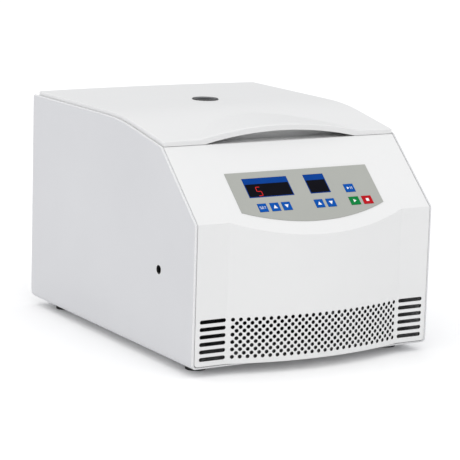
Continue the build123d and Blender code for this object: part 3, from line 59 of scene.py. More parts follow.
# %% [markdown]
# ## Camera
#
# The picture was taken from the front left, a little above the lid, with a long lens from about
# three metres away, which keeps the edges nearly parallel. The camera is turned first by its
# bearing and height above the horizon, and then rolled slightly about its own axis.

# %% Place the camera
camera_place = Vector((-1.578478, -2.60154, 0.735534))
camera_bearing = radians(-31.307)
camera_height = radians(10.911)
camera_roll = radians(1.731)
camera_lens = 163.6
sensor_width = 36.0
sight_limit = 60.0

backwards = Vector((
    sin(camera_bearing) * cos(camera_height),
    -cos(camera_bearing) * cos(camera_height),
    sin(camera_height),
))
camera_data = bpy.data.cameras.new("photo_camera")
camera_data.lens = camera_lens
camera_data.sensor_width = sensor_width
camera_data.clip_end = sight_limit
camera = bpy.data.objects.new("photo_camera", camera_data)
camera.rotation_mode = "QUATERNION"
camera.location = camera_place
camera.rotation_quaternion = (-backwards).to_track_quat("-Z", "Y") @ Quaternion((0, 0, 1), camera_roll)
bpy.context.scene.collection.objects.link(camera)
bpy.context.scene.camera = camera
print("camera at", camera_place[:], "lens", camera_lens)

# %% [markdown]
# ## Light
#
# A catalogue picture of a white machine uses large soft lights, so that its faces differ only a
# little in tone. An even, slightly blue sky gives the base tone, and the pale floor sends light
# back up at the upright faces. One broad lamp stands high up in front, a little to the left. The
# sloping face gets light from the lamp and the floor alike and comes out brightest, and the lid
# and the upright front follow. As a sun with a wide disc the lamp has soft shadows and lights the
# whole floor alike. The colours are shown without a film look.

# %% Set the sky
sky_colour = (0.955, 0.97, 1.0, 1.0)
sky_strength = 0.59

bpy.context.scene.view_settings.view_transform = "Standard"
sky = bpy.data.worlds.new("pale_sky")
sky.use_nodes = True
sky_inputs = sky.node_tree.nodes["Background"].inputs
sky_inputs["Color"].default_value = sky_colour
sky_inputs["Strength"].default_value = sky_strength
bpy.context.scene.world = sky
print("sky strength", sky_strength)

# %% Hang the lamp
towards_lamp = Vector((-0.115, -0.13, 0.56))
lamp_strength = 1.95
lamp_disc = radians(120.0)
lamp_colour = (1.0, 0.99, 0.975)

lamp_data = bpy.data.lights.new("broad_lamp", "SUN")
lamp_data.energy = lamp_strength
lamp_data.angle = lamp_disc
lamp_data.color = lamp_colour
lamp = bpy.data.objects.new("broad_lamp", lamp_data)
lamp.rotation_mode = "QUATERNION"
lamp.rotation_quaternion = (-towards_lamp).to_track_quat("-Z", "Y")
bpy.context.scene.collection.objects.link(lamp)
print("lamp", lamp_strength, "W/m2, disc", round(degrees(lamp_disc)), "degrees")

# %% [markdown]
# ## Surfaces from formulas
#
# Every piece made here is a closed skin: rings of points, one ring after another, with each ring
# joined to the next by a band of faces. A skin that ends in a point gets one shared vertex there,
# and a skin that runs back into itself joins its last ring to its first.

# %% Join rings of points into a skin
def ring_faces(rings, points, closed):
    """Faces between neighbouring rings: a point, the one beside it, and those two on the ring after."""
    bands = rings if closed else rings - 1
    ring, point = np.meshgrid(np.arange(bands), np.arange(points), indexing="ij")
    after = (ring + 1) % rings
    beside = (point + 1) % points
    corners = (
        ring * points + point,
        ring * points + beside,
        after * points + beside,
        after * points + point,
    )
    return np.stack(corners, axis=-1).reshape(-1, 4)


def skin(grid, first_pole=None, last_pole=None):
    """(points, quads, triangles) of a grid of rings, shut at each end by a pole or run into itself."""
    rings, points = grid.shape[:2]
    places = grid.reshape(-1, 3)
    if first_pole is None:
        return places, ring_faces(rings, points, True), np.zeros((0, 3), int)
    around = np.arange(points)
    beside = (around + 1) % points
    first, last = len(places), len(places) + 1
    last_ring = (rings - 1) * points
    fans = np.concatenate((
        np.stack((np.full(points, first), beside, around), axis=-1),
        np.stack((last_ring + around, last_ring + beside, np.full(points, last)), axis=-1),
    ))
    places = np.concatenate((places, [first_pole, last_pole]))
    return places, ring_faces(rings, points, False), fans


# %% Make one piece from its skins
def make_piece(name, skins, body, material):
    """One object from several skins, each skin's faces numbered on from the points before it."""
    starts = np.cumsum([0] + [len(places) for places, quads, fans in skins])
    points = np.concatenate([places for places, quads, fans in skins])
    faces = []
    for start, (places, quads, fans) in zip(starts, skins):
        faces += (quads + start).tolist() + (fans + start).tolist()
    mesh = bpy.data.meshes.new(name)
    mesh.from_pydata(points.tolist(), [], faces)
    mesh.materials.append(material)
    mesh.update()
    piece = bpy.data.objects.new(name, mesh)
    bpy.context.scene.collection.objects.link(piece)
    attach(piece, body)
    print("piece", name, "on", body, len(faces), "faces")


# %% [markdown]
# ## Finishes
#
# A finish is a small tree of shader nodes. Each one starts from the object's own coordinates in
# metres, so its grain has a real size: the pimples of powder coat are about a millimetre, and the
# marks of a lathe a little finer. Noise moves the colour and the roughness a little and raises
# the grain. On sharp edges the bevel node turns the light round the corner, and the same node
# finds the edges for their own colour: wear on most finishes, a painted highlight on the pale ones.

# %% Helpers for shader trees
def add(tree, kind, inputs=(), **settings):
    """One shader node: settings are its properties, inputs its sockets, as numbers or as sockets."""
    made = tree.nodes.new(kind)
    for name, value in settings.items():
        setattr(made, name, value)
    for name, value in dict(inputs).items():
        if isinstance(value, bpy.types.NodeSocket):
            tree.links.new(value, made.inputs[name])
        else:
            made.inputs[name].default_value = value
    return made


def maths(tree, operation, first, second):
    """One number worked out of two, such as their product or the larger of them."""
    return add(tree, "ShaderNodeMath", {0: first, 1: second}, operation=operation).outputs[0]


def vector_maths(tree, operation, first, second):
    """One vector worked out of two, direction by direction, such as their difference or product."""
    return add(tree, "ShaderNodeVectorMath", {0: first, 1: second}, operation=operation).outputs[0]


def rgba(colour):
    """A colour with full cover."""
    return (*colour, 1.0)


def object_places(tree):
    """Where each point is on the machine, in metres."""
    return add(tree, "ShaderNodeTexCoord").outputs["Object"]


# %% Noise, and the spans it is stretched over
def noise(tree, places, scale, detail=3.0):
    """Cloudy values from 0 to 1, in cells of one over scale metres."""
    inputs = {"Vector": places, "Scale": scale, "Detail": detail}
    return add(tree, "ShaderNodeTexNoise", inputs).outputs[0]


def spread(tree, value, low, high, from_low=0.3, from_high=0.7):
    """The value stretched from its usual span to run from low to high, and held at those ends."""
    usual = {"Value": value, "From Min": from_low, "From Max": from_high}
    return add(tree, "ShaderNodeMapRange", {**usual, "To Min": low, "To Max": high}).outputs["Result"]


# The mix node has a set of sockets for each kind of value: these are its share and its colour sockets.
mix_share, mix_first, mix_second, mix_result = 0, 6, 7, 2


def blend_colours(tree, share, first, second):
    """The first colour where share is 0 and the second where it is 1."""
    inputs = {mix_share: share, mix_first: first, mix_second: second}
    return add(tree, "ShaderNodeMix", inputs, data_type="RGBA").outputs[mix_result]


# %% Places round an axis, and edges
edge_start = 0.985    # the dot product of two normals just under 10 degrees apart


def turned_places(tree, places, axis_place):
    """Places round an upright axis as (angle, distance from the axis, height), for marks of turning."""
    from_axis = vector_maths(tree, "SUBTRACT", places, axis_place)
    parts = add(tree, "ShaderNodeSeparateXYZ", {0: from_axis}).outputs
    angle = maths(tree, "ARCTAN2", parts["Y"], parts["X"])
    level = vector_maths(tree, "MULTIPLY", from_axis, (1.0, 1.0, 0.0))
    far = add(tree, "ShaderNodeVectorMath", {0: level}, operation="LENGTH").outputs["Value"]
    return add(tree, "ShaderNodeCombineXYZ", {"X": angle, "Y": far, "Z": parts["Z"]}).outputs[0]


def edge_share(tree, rounded, wear_and_highlight):
    """Share of the edge colour, for wear and for painted highlights: the rounded normal . the face's
    own, from 0 at edge_start to 1 at wear_and_highlight.
    """
    own = add(tree, "ShaderNodeNewGeometry").outputs["Normal"]
    turn = add(tree, "ShaderNodeVectorMath", {0: rounded, 1: own}, operation="DOT_PRODUCT")
    return spread(tree, turn.outputs["Value"], 0.0, 1.0, edge_start, wear_and_highlight)


# %% Build one finish from its own few numbers
finishes = {}
bevel_samples = 4
grain_detail = 4.0
lathe_stretch = (0.4, 60.0, 60.0)    # long round the axis, fine outwards and upwards
dull_limit = 0.6                     # patches times grain, where a finish is at its roughest


def finish(
    name, colour, second, roughness, rougher, grain, grain_depth, *,
    clouds=14.0, metal=0.0, edge=None, edge_width=0.0006, wear_and_highlight=0.8, turned=None, shine=0.5,
):
    """A finish between two colours and two roughnesses, with grain of a given fineness and depth.

    The fineness is in cells and clouds in patches of the second colour per metre, and the depth is in
    metres. shine is the strength of the gloss. turned gives the axis of lathe marks. edge is the colour
    of the edges, worn on most finishes and a painted highlight on the pale ones, edge_width their
    radius in metres, and the nearer wear_and_highlight is to 1, the wider it shows.
    """
    material = bpy.data.materials.new(name)
    material.use_nodes = True
    tree = material.node_tree
    shader = tree.nodes["Principled BSDF"]
    places = object_places(tree)
    grain_places = places
    if turned is not None:
        round_axis = turned_places(tree, places, turned)
        grain_places = vector_maths(tree, "MULTIPLY", round_axis, lathe_stretch)
    patches = spread(tree, noise(tree, places, clouds), 0.0, 1.0)
    marks = noise(tree, grain_places, grain, grain_detail)
    rounded = add(tree, "ShaderNodeBevel", {"Radius": edge_width}, samples=bevel_samples).outputs[0]
    bump_inputs = {"Height": marks, "Distance": grain_depth, "Strength": 1.0, "Normal": rounded}
    bump = add(tree, "ShaderNodeBump", bump_inputs)
    tree.links.new(bump.outputs[0], shader.inputs["Normal"])
    tone = blend_colours(tree, patches, rgba(colour), rgba(second))
    # Edges take the edge colour: wear on most finishes, a painted highlight on the pale ones.
    if edge is not None:
        tone = blend_colours(tree, edge_share(tree, rounded, wear_and_highlight), tone, rgba(edge))
    tree.links.new(tone, shader.inputs["Base Color"])
    mixed = maths(tree, "MULTIPLY", patches, marks)
    dullness = spread(tree, mixed, roughness, rougher, 0.0, dull_limit)
    tree.links.new(dullness, shader.inputs["Roughness"])
    shader.inputs["Metallic"].default_value = metal
    shader.inputs["Specular IOR Level"].default_value = shine
    finishes[name] = material


# %% [markdown]
# ## Painted sheet and white mouldings
#
# The wrap-round casing is bent steel with a pale, faintly blue powder coat, and its pimples catch
# the light as a soft orange peel. Its tone is partly the coat's own and partly painted shade: it is
# set darker than the mouldings' white, for side panels that get less light than the front. The
# front panel, the lid and the liner are moulded in a warmer white with a finer grain. Edges of both
# are painted lighter, as painted highlights where their rounding catches the light. On the sheet
# they show as thin pale strips, so its edges are given a wider radius and a wider highlight.

# %% Pale finishes
# The sheet's darker tone is partly painted shade, and its pale edge colour, wide radius and reach paint
# a highlight along its edges.
finish("white_sheet", (0.632, 0.635, 0.651), (0.617, 0.620, 0.637), 0.42, 0.56, 900.0, 0.00005,
       clouds=5.0, edge=(0.93, 0.93, 0.92), edge_width=0.0030, wear_and_highlight=0.93, shine=0.35)
# The mouldings' lighter edge colour is a painted highlight.
finish("white_moulding", (0.750, 0.750, 0.746), (0.735, 0.736, 0.734), 0.34, 0.46, 1500.0, 0.000025,
       clouds=6.0, edge=(0.84, 0.84, 0.83), edge_width=0.0008, shine=0.35)
# The deck's grey is painted shade, set darker than the casing's white for the recess under the lid; its
# lighter edge colour is a painted highlight.
finish("deck_paint", (0.60, 0.61, 0.62), (0.56, 0.57, 0.58), 0.45, 0.6, 900.0, 0.00005,
       clouds=9.0, edge=(0.68, 0.68, 0.68))
print("pale finishes:", sorted(finishes))

# %% [markdown]
# ## Metals
#
# The bowl is spun from stainless sheet and the rotor turned from aluminium and anodised, so their
# marks run round the axis: the noise is read in turned coordinates and squeezed across the marks.
# Bent brackets and screws are zinc plated, with the dull patches that plating has.

# %% Metal finishes
rotor_low, rotor_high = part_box("rotor")
rotor_axis = ((rotor_low.x + rotor_high.x) / 2, (rotor_low.y + rotor_high.y) / 2, 0.0)
finish("stainless", (0.62, 0.63, 0.64), (0.55, 0.56, 0.57), 0.20, 0.36, 22.0, 0.000012,
       clouds=10.0, metal=1.0, turned=rotor_axis, edge=(0.78, 0.78, 0.79))
finish("aluminium_anodised", (0.50, 0.51, 0.53), (0.45, 0.46, 0.48), 0.30, 0.44, 26.0, 0.000015,
       clouds=12.0, metal=1.0, turned=rotor_axis, edge=(0.72, 0.73, 0.74), edge_width=0.0008)
finish("aluminium_cast", (0.52, 0.53, 0.54), (0.44, 0.45, 0.46), 0.45, 0.65, 700.0, 0.00009,
       clouds=30.0, metal=0.9, edge=(0.66, 0.66, 0.67))
finish("zinc_steel", (0.56, 0.57, 0.58), (0.46, 0.47, 0.47), 0.30, 0.50, 500.0, 0.00002,
       clouds=60.0, metal=0.95, edge=(0.72, 0.72, 0.73))
finish("guard_steel", (0.15, 0.15, 0.155), (0.10, 0.10, 0.105), 0.45, 0.7, 600.0, 0.00008,
       clouds=25.0, metal=0.8, edge=(0.35, 0.34, 0.33))
finish("brass_pin", (0.72, 0.56, 0.25), (0.60, 0.45, 0.20), 0.22, 0.4, 900.0, 0.00001,
       clouds=90.0, metal=1.0, edge=(0.85, 0.72, 0.42))
print("finishes with the metals:", len(finishes))

# %% [markdown]
# ## Rubber, dark plastic, key film and boards
#
# Rubber is the roughest and nearly black, with a bloom of dust. The switch, inlet and fan are
# moulded in a fine-grained black plastic. The key panel is a printed film with a matt, sand-like
# surface, and the keys are the same film in colour. The windows are smoked acrylic: almost black,
# and glossy.

# %% Rubber, plastic and boards
finish("black_rubber", (0.018, 0.018, 0.019), (0.04, 0.04, 0.04), 0.65, 0.85, 1200.0, 0.00006,
       clouds=45.0, edge=(0.07, 0.07, 0.07), shine=0.3)
finish("grey_rubber", (0.16, 0.16, 0.165), (0.21, 0.21, 0.215), 0.6, 0.8, 1200.0, 0.00005,
       clouds=45.0, edge=(0.27, 0.27, 0.27), shine=0.3)
finish("black_plastic", (0.014, 0.014, 0.015), (0.024, 0.024, 0.025), 0.30, 0.46, 2200.0, 0.00002,
       clouds=35.0, edge=(0.06, 0.06, 0.06))
finish("board_green", (0.02, 0.11, 0.05), (0.015, 0.085, 0.04), 0.3, 0.5, 1500.0, 0.00002,
       clouds=60.0, edge=(0.30, 0.28, 0.14))
print("finishes with rubber and plastic:", len(finishes))

# %% Key film, windows and prints
finish("overlay_film", (0.385, 0.393, 0.364), (0.368, 0.376, 0.350), 0.42, 0.56, 3500.0, 0.00001,
       clouds=9.0, edge=(0.46, 0.47, 0.44), edge_width=0.0003, shine=0.2)
finish("smoked_window", (0.0015, 0.0015, 0.004), (0.0025, 0.0025, 0.006), 0.06, 0.12, 3000.0, 0.000001,
       clouds=60.0, edge=(0.02, 0.02, 0.04), edge_width=0.0003, shine=0.03)
finish("blue_key", (0.0015, 0.080, 0.385), (0.001, 0.072, 0.345), 0.34, 0.48, 3500.0, 0.00001,
       clouds=90.0, edge=(0.05, 0.20, 0.62), edge_width=0.0003, shine=0.03)
finish("green_key", (0.002, 0.205, 0.045), (0.002, 0.18, 0.04), 0.34, 0.48, 3500.0, 0.00001,
       clouds=90.0, edge=(0.05, 0.36, 0.14), edge_width=0.0003, shine=0.03)
finish("red_key", (0.46, 0.007, 0.012), (0.41, 0.006, 0.011), 0.34, 0.48, 3500.0, 0.00001,
       clouds=90.0, edge=(0.65, 0.07, 0.09), edge_width=0.0003, shine=0.03)
finish("blue_print", (0.0012, 0.048, 0.275), (0.001, 0.043, 0.25), 0.34, 0.48, 3500.0, 0.00001,
       clouds=90.0, edge_width=0.0001, shine=0.03)
finish("digit_red", (0.30, 0.01, 0.01), (0.24, 0.01, 0.01), 0.2, 0.35, 2500.0, 0.00001, clouds=120.0)
finish("print_white", (0.84, 0.85, 0.86), (0.80, 0.81, 0.83), 0.4, 0.5, 3500.0, 0.000005,
       clouds=300.0, edge_width=0.0001)
print("all finishes:", len(finishes))

# %% [markdown]
# ## Painted shade in the vents
#
# Seen from outside, the slots and round holes low on the front read as solid black, because they
# lie in shade. That shade is painted: within the vents' band the back of the moulding and the walls
# of the vents are painted black, following depth. The front is a flat face with a round bulge over
# it, so a point lies as deep as the larger of two lengths: how far it is behind the flat, and how
# far it is inside the bulge's circle. That circle runs through the bulge's two ends and its
# foremost point, so its radius is the half width squared plus the rise squared, over twice the
# rise.

# %% Measure how deep a point lies in the front
front_y = -0.2385
bulge_half_width, bulge_rise = 0.142, 0.023
bulge_radius = (bulge_half_width**2 + bulge_rise**2) / (2 * bulge_rise)
bulge_axis = (0.0, front_y - bulge_rise + bulge_radius, 0.0)

front_finish = finishes["white_moulding"].copy()
front_finish.name = "white_front"
front_tree = front_finish.node_tree
front_places = object_places(front_tree)
front_parts = add(front_tree, "ShaderNodeSeparateXYZ", {0: front_places}).outputs
from_bulge = turned_places(front_tree, front_places, bulge_axis)
bulge_far = add(front_tree, "ShaderNodeSeparateXYZ", {0: from_bulge}).outputs["Y"]
flat_depth = maths(front_tree, "SUBTRACT", front_parts["Y"], front_y)
bulge_depth = maths(front_tree, "SUBTRACT", bulge_radius, bulge_far)
depth = maths(front_tree, "MAXIMUM", flat_depth, bulge_depth)
print("bulge radius", round(bulge_radius, 4), "m")

# %% Paint shade on the vents' walls in black
vent_reach, vent_low, vent_high = 0.1865, 0.0205, 0.0835
shade_start, shade_full = 0.0002, 0.0006
vent_painted_shade = (0.012, 0.012, 0.013)


def between(tree, value, low, high):
    """1 where the value lies between low and high, and 0 outside."""
    over = maths(tree, "GREATER_THAN", value, low)
    under = maths(tree, "LESS_THAN", value, high)
    return maths(tree, "MULTIPLY", over, under)


# Painted shade: black where the moulding lies deeper than its outer face, within the vents' band.
inside = spread(front_tree, depth, 0.0, 1.0, shade_start, shade_full)
across_vents = between(front_tree, front_parts["X"], -vent_reach, vent_reach)
up_vents = between(front_tree, front_parts["Z"], vent_low, vent_high)
vent_zone = maths(front_tree, "MULTIPLY", across_vents, up_vents)
vent_shade_share = maths(front_tree, "MULTIPLY", vent_zone, inside)
front_colour = front_tree.nodes["Principled BSDF"].inputs["Base Color"]
outer_tone = front_colour.links[0].from_socket
vent_shade_tone = blend_colours(front_tree, vent_shade_share, outer_tone, rgba(vent_painted_shade))
front_tree.links.new(vent_shade_tone, front_colour)
print("vents painted between", vent_low, "and", vent_high, "m")

# %% Dress every part in the finish of its slot
part_finishes = {"front_panel": front_finish}
for row in frame["record"]["subparts"]:
    part = frame["nodes"][row["node"]]
    part.data.materials.clear()
    part.data.materials.append(part_finishes.get(row["node"], finishes[row["material_slot"]]))

# %% [markdown]
# ## Planes to print on
#
# A print lies on one flat face of the machine. Such a face is given by four vectors: a point on
# it, the direction that reads from left to right, the one that reads upwards, and the one that
# stands out of it. The key panel's plane starts at the knee of the front and rises towards the
# lid. Its film stands 0.8 mm out of the panel and the key caps 1.2 mm.

# %% Places on a plane
mm = 0.001
knee = np.array((0.0, -238.5, 212.0))
slope_rise, slope_run = 92.0, 100.0
slope_angle = atan2(slope_rise, slope_run)
slope = (
    knee,
    np.array((1.0, 0.0, 0.0)),
    np.array((0.0, cos(slope_angle), sin(slope_angle))),
    np.array((0.0, -sin(slope_angle), cos(slope_angle))),
)
film_height = 0.8
cap_height = 1.2


def on_plane(plane, x, s, h):
    """Metres from millimetres: the plane's point, plus x across, s upwards and h out of it."""
    origin, across, upwards, outwards = plane
    x, s, h = np.broadcast_arrays(np.asarray(x, float), s, h)
    return (origin + x[..., None] * across + s[..., None] * upwards + h[..., None] * outwards) * mm


print("key panel leans back", round(90.0 - degrees(slope_angle), 1), "degrees from upright")

# %% [markdown]
# ## Printed marks
#
# Arrows, squares, bars and the strokes of letters are all convex shapes with slightly soft
# corners. Such a shape is the set of straight edges that face it: along any direction, the
# outline lies where the edges' shares of that direction, each raised to a high power and added
# up, come to one. The higher the power, the sharper the corner. A mark is a pole, rings out to
# the outline, rings back below, and a pole.

# %% Draw one convex mark
points_round = 48
print_depth = 0.05
bar_corner, arrow_corner, figure_corner = 14.0, 22.0, 26.0


def outline_reach(directions, edges, sharpness):
    """Distance to the outline: one over the p-norm of (edge normal . direction / edge distance)."""
    normals = np.array([(cos(radians(angle)), sin(radians(angle))) for angle, distance in edges])
    distances = np.array([distance for angle, distance in edges])
    shares = np.clip(directions @ normals.T / distances, 0.0, None)
    return (shares**sharpness).sum(axis=1) ** (-1.0 / sharpness)


def mark(plane, x, s, edges, height, turn=0.0, sharpness=bar_corner):
    """A thin mark at (x, s) on a plane, with straight edges given as (angle, distance) in mm.

    Its rings lie at half the outline's reach and at all of it, first a print's depth above the height
    and then as far below it, turned by an angle in the plane.
    """
    angles = tau * np.arange(points_round) / points_round
    directions = np.stack((np.cos(angles), np.sin(angles)), axis=-1)
    reach = outline_reach(directions, edges, sharpness)
    shares = np.array((0.5, 1.0, 1.0, 0.5))[:, None]
    heights = np.array((1.0, 1.0, -1.0, -1.0))[:, None] * print_depth
    lean = radians(turn)
    u, v = directions[:, 0] * reach * shares, directions[:, 1] * reach * shares
    ring_x, ring_s = x + u * cos(lean) - v * sin(lean), s + u * sin(lean) + v * cos(lean)
    top = on_plane(plane, x, s, height + print_depth)
    bottom = on_plane(plane, x, s, height - print_depth)
    return skin(on_plane(plane, ring_x, ring_s, height + heights), top, bottom)


# %% Draw bars and arrows
right, up, down = 0.0, 90.0, 270.0


def bar(plane, x, s, length, width, height, turn=right):
    """A stroke of that length and width, turned by that angle, with nearly square ends."""
    edges = ((0, length / 2), (90, width / 2), (180, length / 2), (270, width / 2))
    return mark(plane, x, s, edges, height, turn)


def arrow(x, s, size, turn):
    """A triangle on a key cap that points along turn, its three edges equally far from the middle."""
    edges = ((60, size), (180, size), (300, size))
    return mark(slope, x, s, edges, cap_height, turn, arrow_corner)


# %% [markdown]
# ## Key legends
#
# The keys carry white prints: arrows up and down for speed and time, a triangle for start, a
# square for stop, and a triangle with two bars for a short run. The first key has three small
# letters made of strokes.

# %% Write on the first key
key_row, pulse_row = 20.0, 42.6
letter_tall, letter_wide, letter_stroke = 3.6, 2.3, 0.55
letter_middles = (-84.5, -81.0, -77.5)


def letter_strokes(x, rows, sides):
    """Strokes of a letter: rows are heights of level bars, sides (x, low, high) uprights, -1 to 1."""
    half_tall, half_wide = letter_tall / 2, letter_wide / 2
    strokes = []
    for row in rows:
        place = (x, key_row + row * half_tall)
        strokes.append(bar(slope, *place, letter_wide, letter_stroke, cap_height))
    for side, low, high in sides:
        middle = (low + high) * half_tall / 2
        length = (high - low) * half_tall + letter_stroke
        place = (x + side * half_wide, key_row + middle)
        strokes.append(bar(slope, *place, length, letter_stroke, cap_height, up))
    return strokes


# S, E and T, each as its level bars and its uprights.
letters = (
    ((-1, 0, 1), ((-1, 0, 1), (1, -1, 0))),
    ((-1, 0, 1), ((-1, -1, 1),)),
    ((1,), ((0, -1, 1),)),
)
word = []
for letter_middle, (rows, sides) in zip(letter_middles, letters):
    word += letter_strokes(letter_middle, rows, sides)
print("strokes on the first key:", len(word))

# %% Print the keys
arrow_size, arrow_shift = 1.9, 0.6
start_size, pulse_size, stop_half = 1.6, 1.3, 2.4
pulse_bar_places, pulse_bar_tall, pulse_bar_wide = (73.4, 76.0), 4.4, 0.7
pulse_bars = [
    bar(slope, x, pulse_row, pulse_bar_tall, pulse_bar_wide, cap_height, up) for x in pulse_bar_places
]
square = [(angle, stop_half) for angle in (0, 90, 180, 270)]
legends = {
    "key_speed_set": word,
    "key_speed_up": [arrow(-61.2, key_row - arrow_shift, arrow_size, up)],
    "key_speed_down": [arrow(-42.3, key_row + arrow_shift, arrow_size, down)],
    "key_time_up": [arrow(11.5, key_row - arrow_shift, arrow_size, up)],
    "key_time_down": [arrow(30.7, key_row + arrow_shift, arrow_size, down)],
    "key_pulse": [arrow(69.0, pulse_row, pulse_size, right), *pulse_bars],
    "key_start": [arrow(70.2, key_row, start_size, right)],
    "key_stop": [mark(slope, 92.1, key_row, square, cap_height)],
}
for key, marks in legends.items():
    make_piece(key.replace("key_", "legend_"), marks, key, finishes["print_white"])

# %% [markdown]
# ## Display windows
#
# Behind each window a blue print covers the upper third and runs round the rest as a narrow
# border. Here it lies on the smoked plate as a thin frame: an outer and an inner outline, each
# drawn with the same number of points, and joined over the top and down the sides.

# %% Draw a flat frame
side_steps = 6


def flat_frame(plane, outer, inner, height):
    """A thin closed frame: the inner outline of (x, s), low and high, then the outer, high and low."""
    low, high = height - print_depth, height + print_depth
    loops = ((inner, low), (inner, high), (outer, high), (outer, low))
    return skin(np.stack([on_plane(plane, loop[:, 0], loop[:, 1], h) for loop, h in loops]))


def rectangle_loop(x_low, x_high, s_low, s_high):
    """Points round a rectangle, evenly spaced along each side, corners included."""
    corner_x = (x_low, x_high, x_high, x_low, x_low)
    corner_s = (s_low, s_low, s_high, s_high, s_low)
    steps = np.arange(4 * side_steps) / side_steps
    x, s = np.interp(steps, range(5), corner_x), np.interp(steps, range(5), corner_s)
    return np.stack((x, s), axis=-1)


# %% Frame the windows in blue
window_low, window_high, view_high, border = 38.0, 71.0, 61.0, 1.1
window_sides = {"speed": (-94.4, -22.0), "timer": (5.5, 38.8)}
for name, (window_left, window_right) in window_sides.items():
    outer = rectangle_loop(window_left, window_right, window_low, window_high)
    view_sides = (window_left + border, window_right - border)
    inner = rectangle_loop(*view_sides, window_low + border, view_high)
    frame_skin = flat_frame(slope, outer, inner, film_height)
    make_piece(f"{name}_window_frame", [frame_skin], "base", finishes["blue_print"])

# %% [markdown]
# ## Figures from strokes
#
# The speed display shows a single red figure, and the rotor's pockets are numbered from 1 to 6 so
# that tubes can be loaded in balance. Both are built from the same seven strokes: three level
# ones and four upright ones. Each stroke is a hexagon, so neighbours meet at a slant.

# %% Build a figure
strokes_of = {1: "bc", 2: "abged", 3: "abgcd", 4: "fgbc", 5: "afgcd", 6: "afedcg"}
stroke_places = {
    "a": (0, 2, right), "g": (0, 0, right), "d": (0, -2, right),
    "f": (-1, 1, up), "b": (1, 1, up), "e": (-1, -1, up), "c": (1, -1, up),
}


def figure(plane, x, s, number, size, height):
    """The strokes of a number round (x, s), placed in halves of its width and quarters of its height.

    size is (half the width, a quarter of the height, half a stroke's thickness) in mm. A stroke's two
    tips lie on its neighbours' middle lines, and edges that slant at 45 degrees meet there.
    """
    half_wide, quarter_tall, stroke_half = size
    strokes = []
    for letter in strokes_of[number]:
        side, level, turn = stroke_places[letter]
        slant = (quarter_tall if turn else half_wide) * cos(radians(45.0))
        slants = [(angle, slant) for angle in (45, 135, 225, 315)]
        edges = ((90, stroke_half), (270, stroke_half), *slants)
        place = (x + side * half_wide, s + level * quarter_tall)
        strokes.append(mark(plane, *place, edges, height, turn, figure_corner))
    return strokes


# %% Light the display's figure
lit_dark, lit_bright = (0.46, 0.007, 0.008), (0.56, 0.015, 0.015)
lit_grain, lit_strength, lit_roughness, lit_shine = 1500.0, 0.3, 0.5, 0.1
digit_place, digit_size = (-75.0, 48.2), (3.4, 3.7, 0.55)

lit = bpy.data.materials.new("lit_stroke")
lit.use_nodes = True
lit_tree = lit.node_tree
lit_inputs = lit_tree.nodes["Principled BSDF"].inputs
glow = spread(lit_tree, noise(lit_tree, object_places(lit_tree), lit_grain), 0.0, 1.0)
lit_tone = blend_colours(lit_tree, glow, rgba(lit_dark), rgba(lit_bright))
lit_tree.links.new(lit_tone, lit_inputs["Base Color"])
lit_tree.links.new(lit_tone, lit_inputs["Emission Color"])
lit_inputs["Emission Strength"].default_value = lit_strength
lit_inputs["Roughness"].default_value = lit_roughness
lit_inputs["Specular IOR Level"].default_value = lit_shine
digit = figure(slope, *digit_place, 5, digit_size, film_height)
make_piece("speed_digit", digit, "base", lit)

# %% Number the rotor's pockets
rotor_top_height = 0.2515    # in metres, as the rotor's box is
pocket_count, number_radius = 6, 70.2
number_size = (1.1, 1.0, 0.25)
rotor_middle = np.array((rotor_axis[0], rotor_axis[1], rotor_top_height)) / mm
numbers = []
for number in range(1, pocket_count + 1):
    heading = tau * (number - 1) / pocket_count
    outward = np.array((cos(heading), sin(heading), 0.0))
    sideways = np.array((sin(heading), -cos(heading), 0.0))
    rotor_top = (rotor_middle, sideways, outward, np.array((0.0, 0.0, 1.0)))
    numbers += figure(rotor_top, 0.0, number_radius, number, number_size, 0.0)
make_piece("pocket_numbers", numbers, "rotor", finishes["black_plastic"])

# %% [markdown]
# ## Switch marks
#
# The mains rocker carries the usual two marks: a stroke on the half that switches on, a ring on
# the half that switches off. The rocker's face is two flats that meet at a shallow angle, so each
# mark has its own plane. Both ride on the rocker.

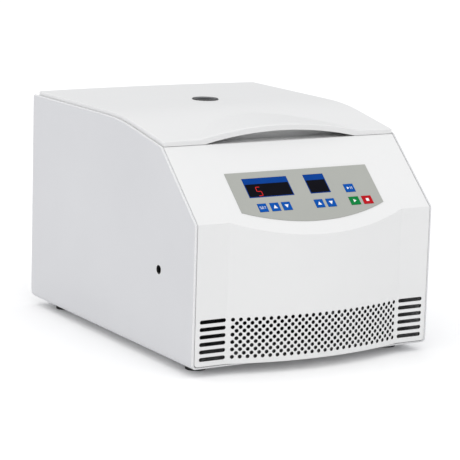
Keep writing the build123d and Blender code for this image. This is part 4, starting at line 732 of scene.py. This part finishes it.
# %% Mark the rocker
tilt_cos, tilt_sin = 0.9397, 0.3420    # the upper flat leans by 20 degrees
on_tall, on_wide = 4.4, 0.9
off_outer, off_inner = 2.3, 1.5
leftward = np.array((-1.0, 0.0, 0.0))
lower_middle = np.array((115.0, 253.21, 108.7))
upper_middle = np.array((115.0, 254.67, 117.0))
lower_flat = (lower_middle, leftward, np.array((0.0, 0.0, 1.0)), np.array((0.0, 1.0, 0.0)))
upper_flat = (
    upper_middle, leftward, np.array((0.0, tilt_sin, tilt_cos)), np.array((0.0, tilt_cos, -tilt_sin))
)
ring_angles = tau * np.arange(points_round) / points_round
circle = np.stack((np.cos(ring_angles), np.sin(ring_angles)), axis=-1)
switch_marks = [
    bar(upper_flat, 0.0, 0.0, on_tall, on_wide, 0.0, up),
    flat_frame(lower_flat, off_outer * circle, off_inner * circle, 0.0),
]
make_piece("switch_marks", switch_marks, "rocker", finishes["print_white"])

# %% [markdown]
# ## The floor
#
# The floor is a wide pale sheet that returns nearly all the light it gets and gives off a little
# of its own, so the machine stands on white with only a soft shadow at its feet.

# %% Lay the floor
floor_half = 20.0
floor_colour, floor_glow = (0.93, 0.93, 0.93), (1.0, 1.0, 1.0)
floor_glow_strength, floor_roughness, floor_shine = 0.05, 0.9, 0.0

floor_mesh = bpy.data.meshes.new("studio_floor")
floor_corners = floor_half * np.array(((-1, -1, 0), (1, -1, 0), (1, 1, 0), (-1, 1, 0)), float)
floor_mesh.from_pydata(floor_corners.tolist(), [], [(0, 1, 2, 3)])
floor = bpy.data.objects.new("studio_floor", floor_mesh)
bpy.context.scene.collection.objects.link(floor)
floor_material = bpy.data.materials.new("studio_floor")
floor_material.use_nodes = True
floor_inputs = floor_material.node_tree.nodes["Principled BSDF"].inputs
floor_inputs["Base Color"].default_value = rgba(floor_colour)
floor_inputs["Roughness"].default_value = floor_roughness
floor_inputs["Specular IOR Level"].default_value = floor_shine
floor_inputs["Emission Color"].default_value = rgba(floor_glow)
floor_inputs["Emission Strength"].default_value = floor_glow_strength
floor_mesh.materials.append(floor_material)
print("floor laid,", 2 * floor_half, "m across")
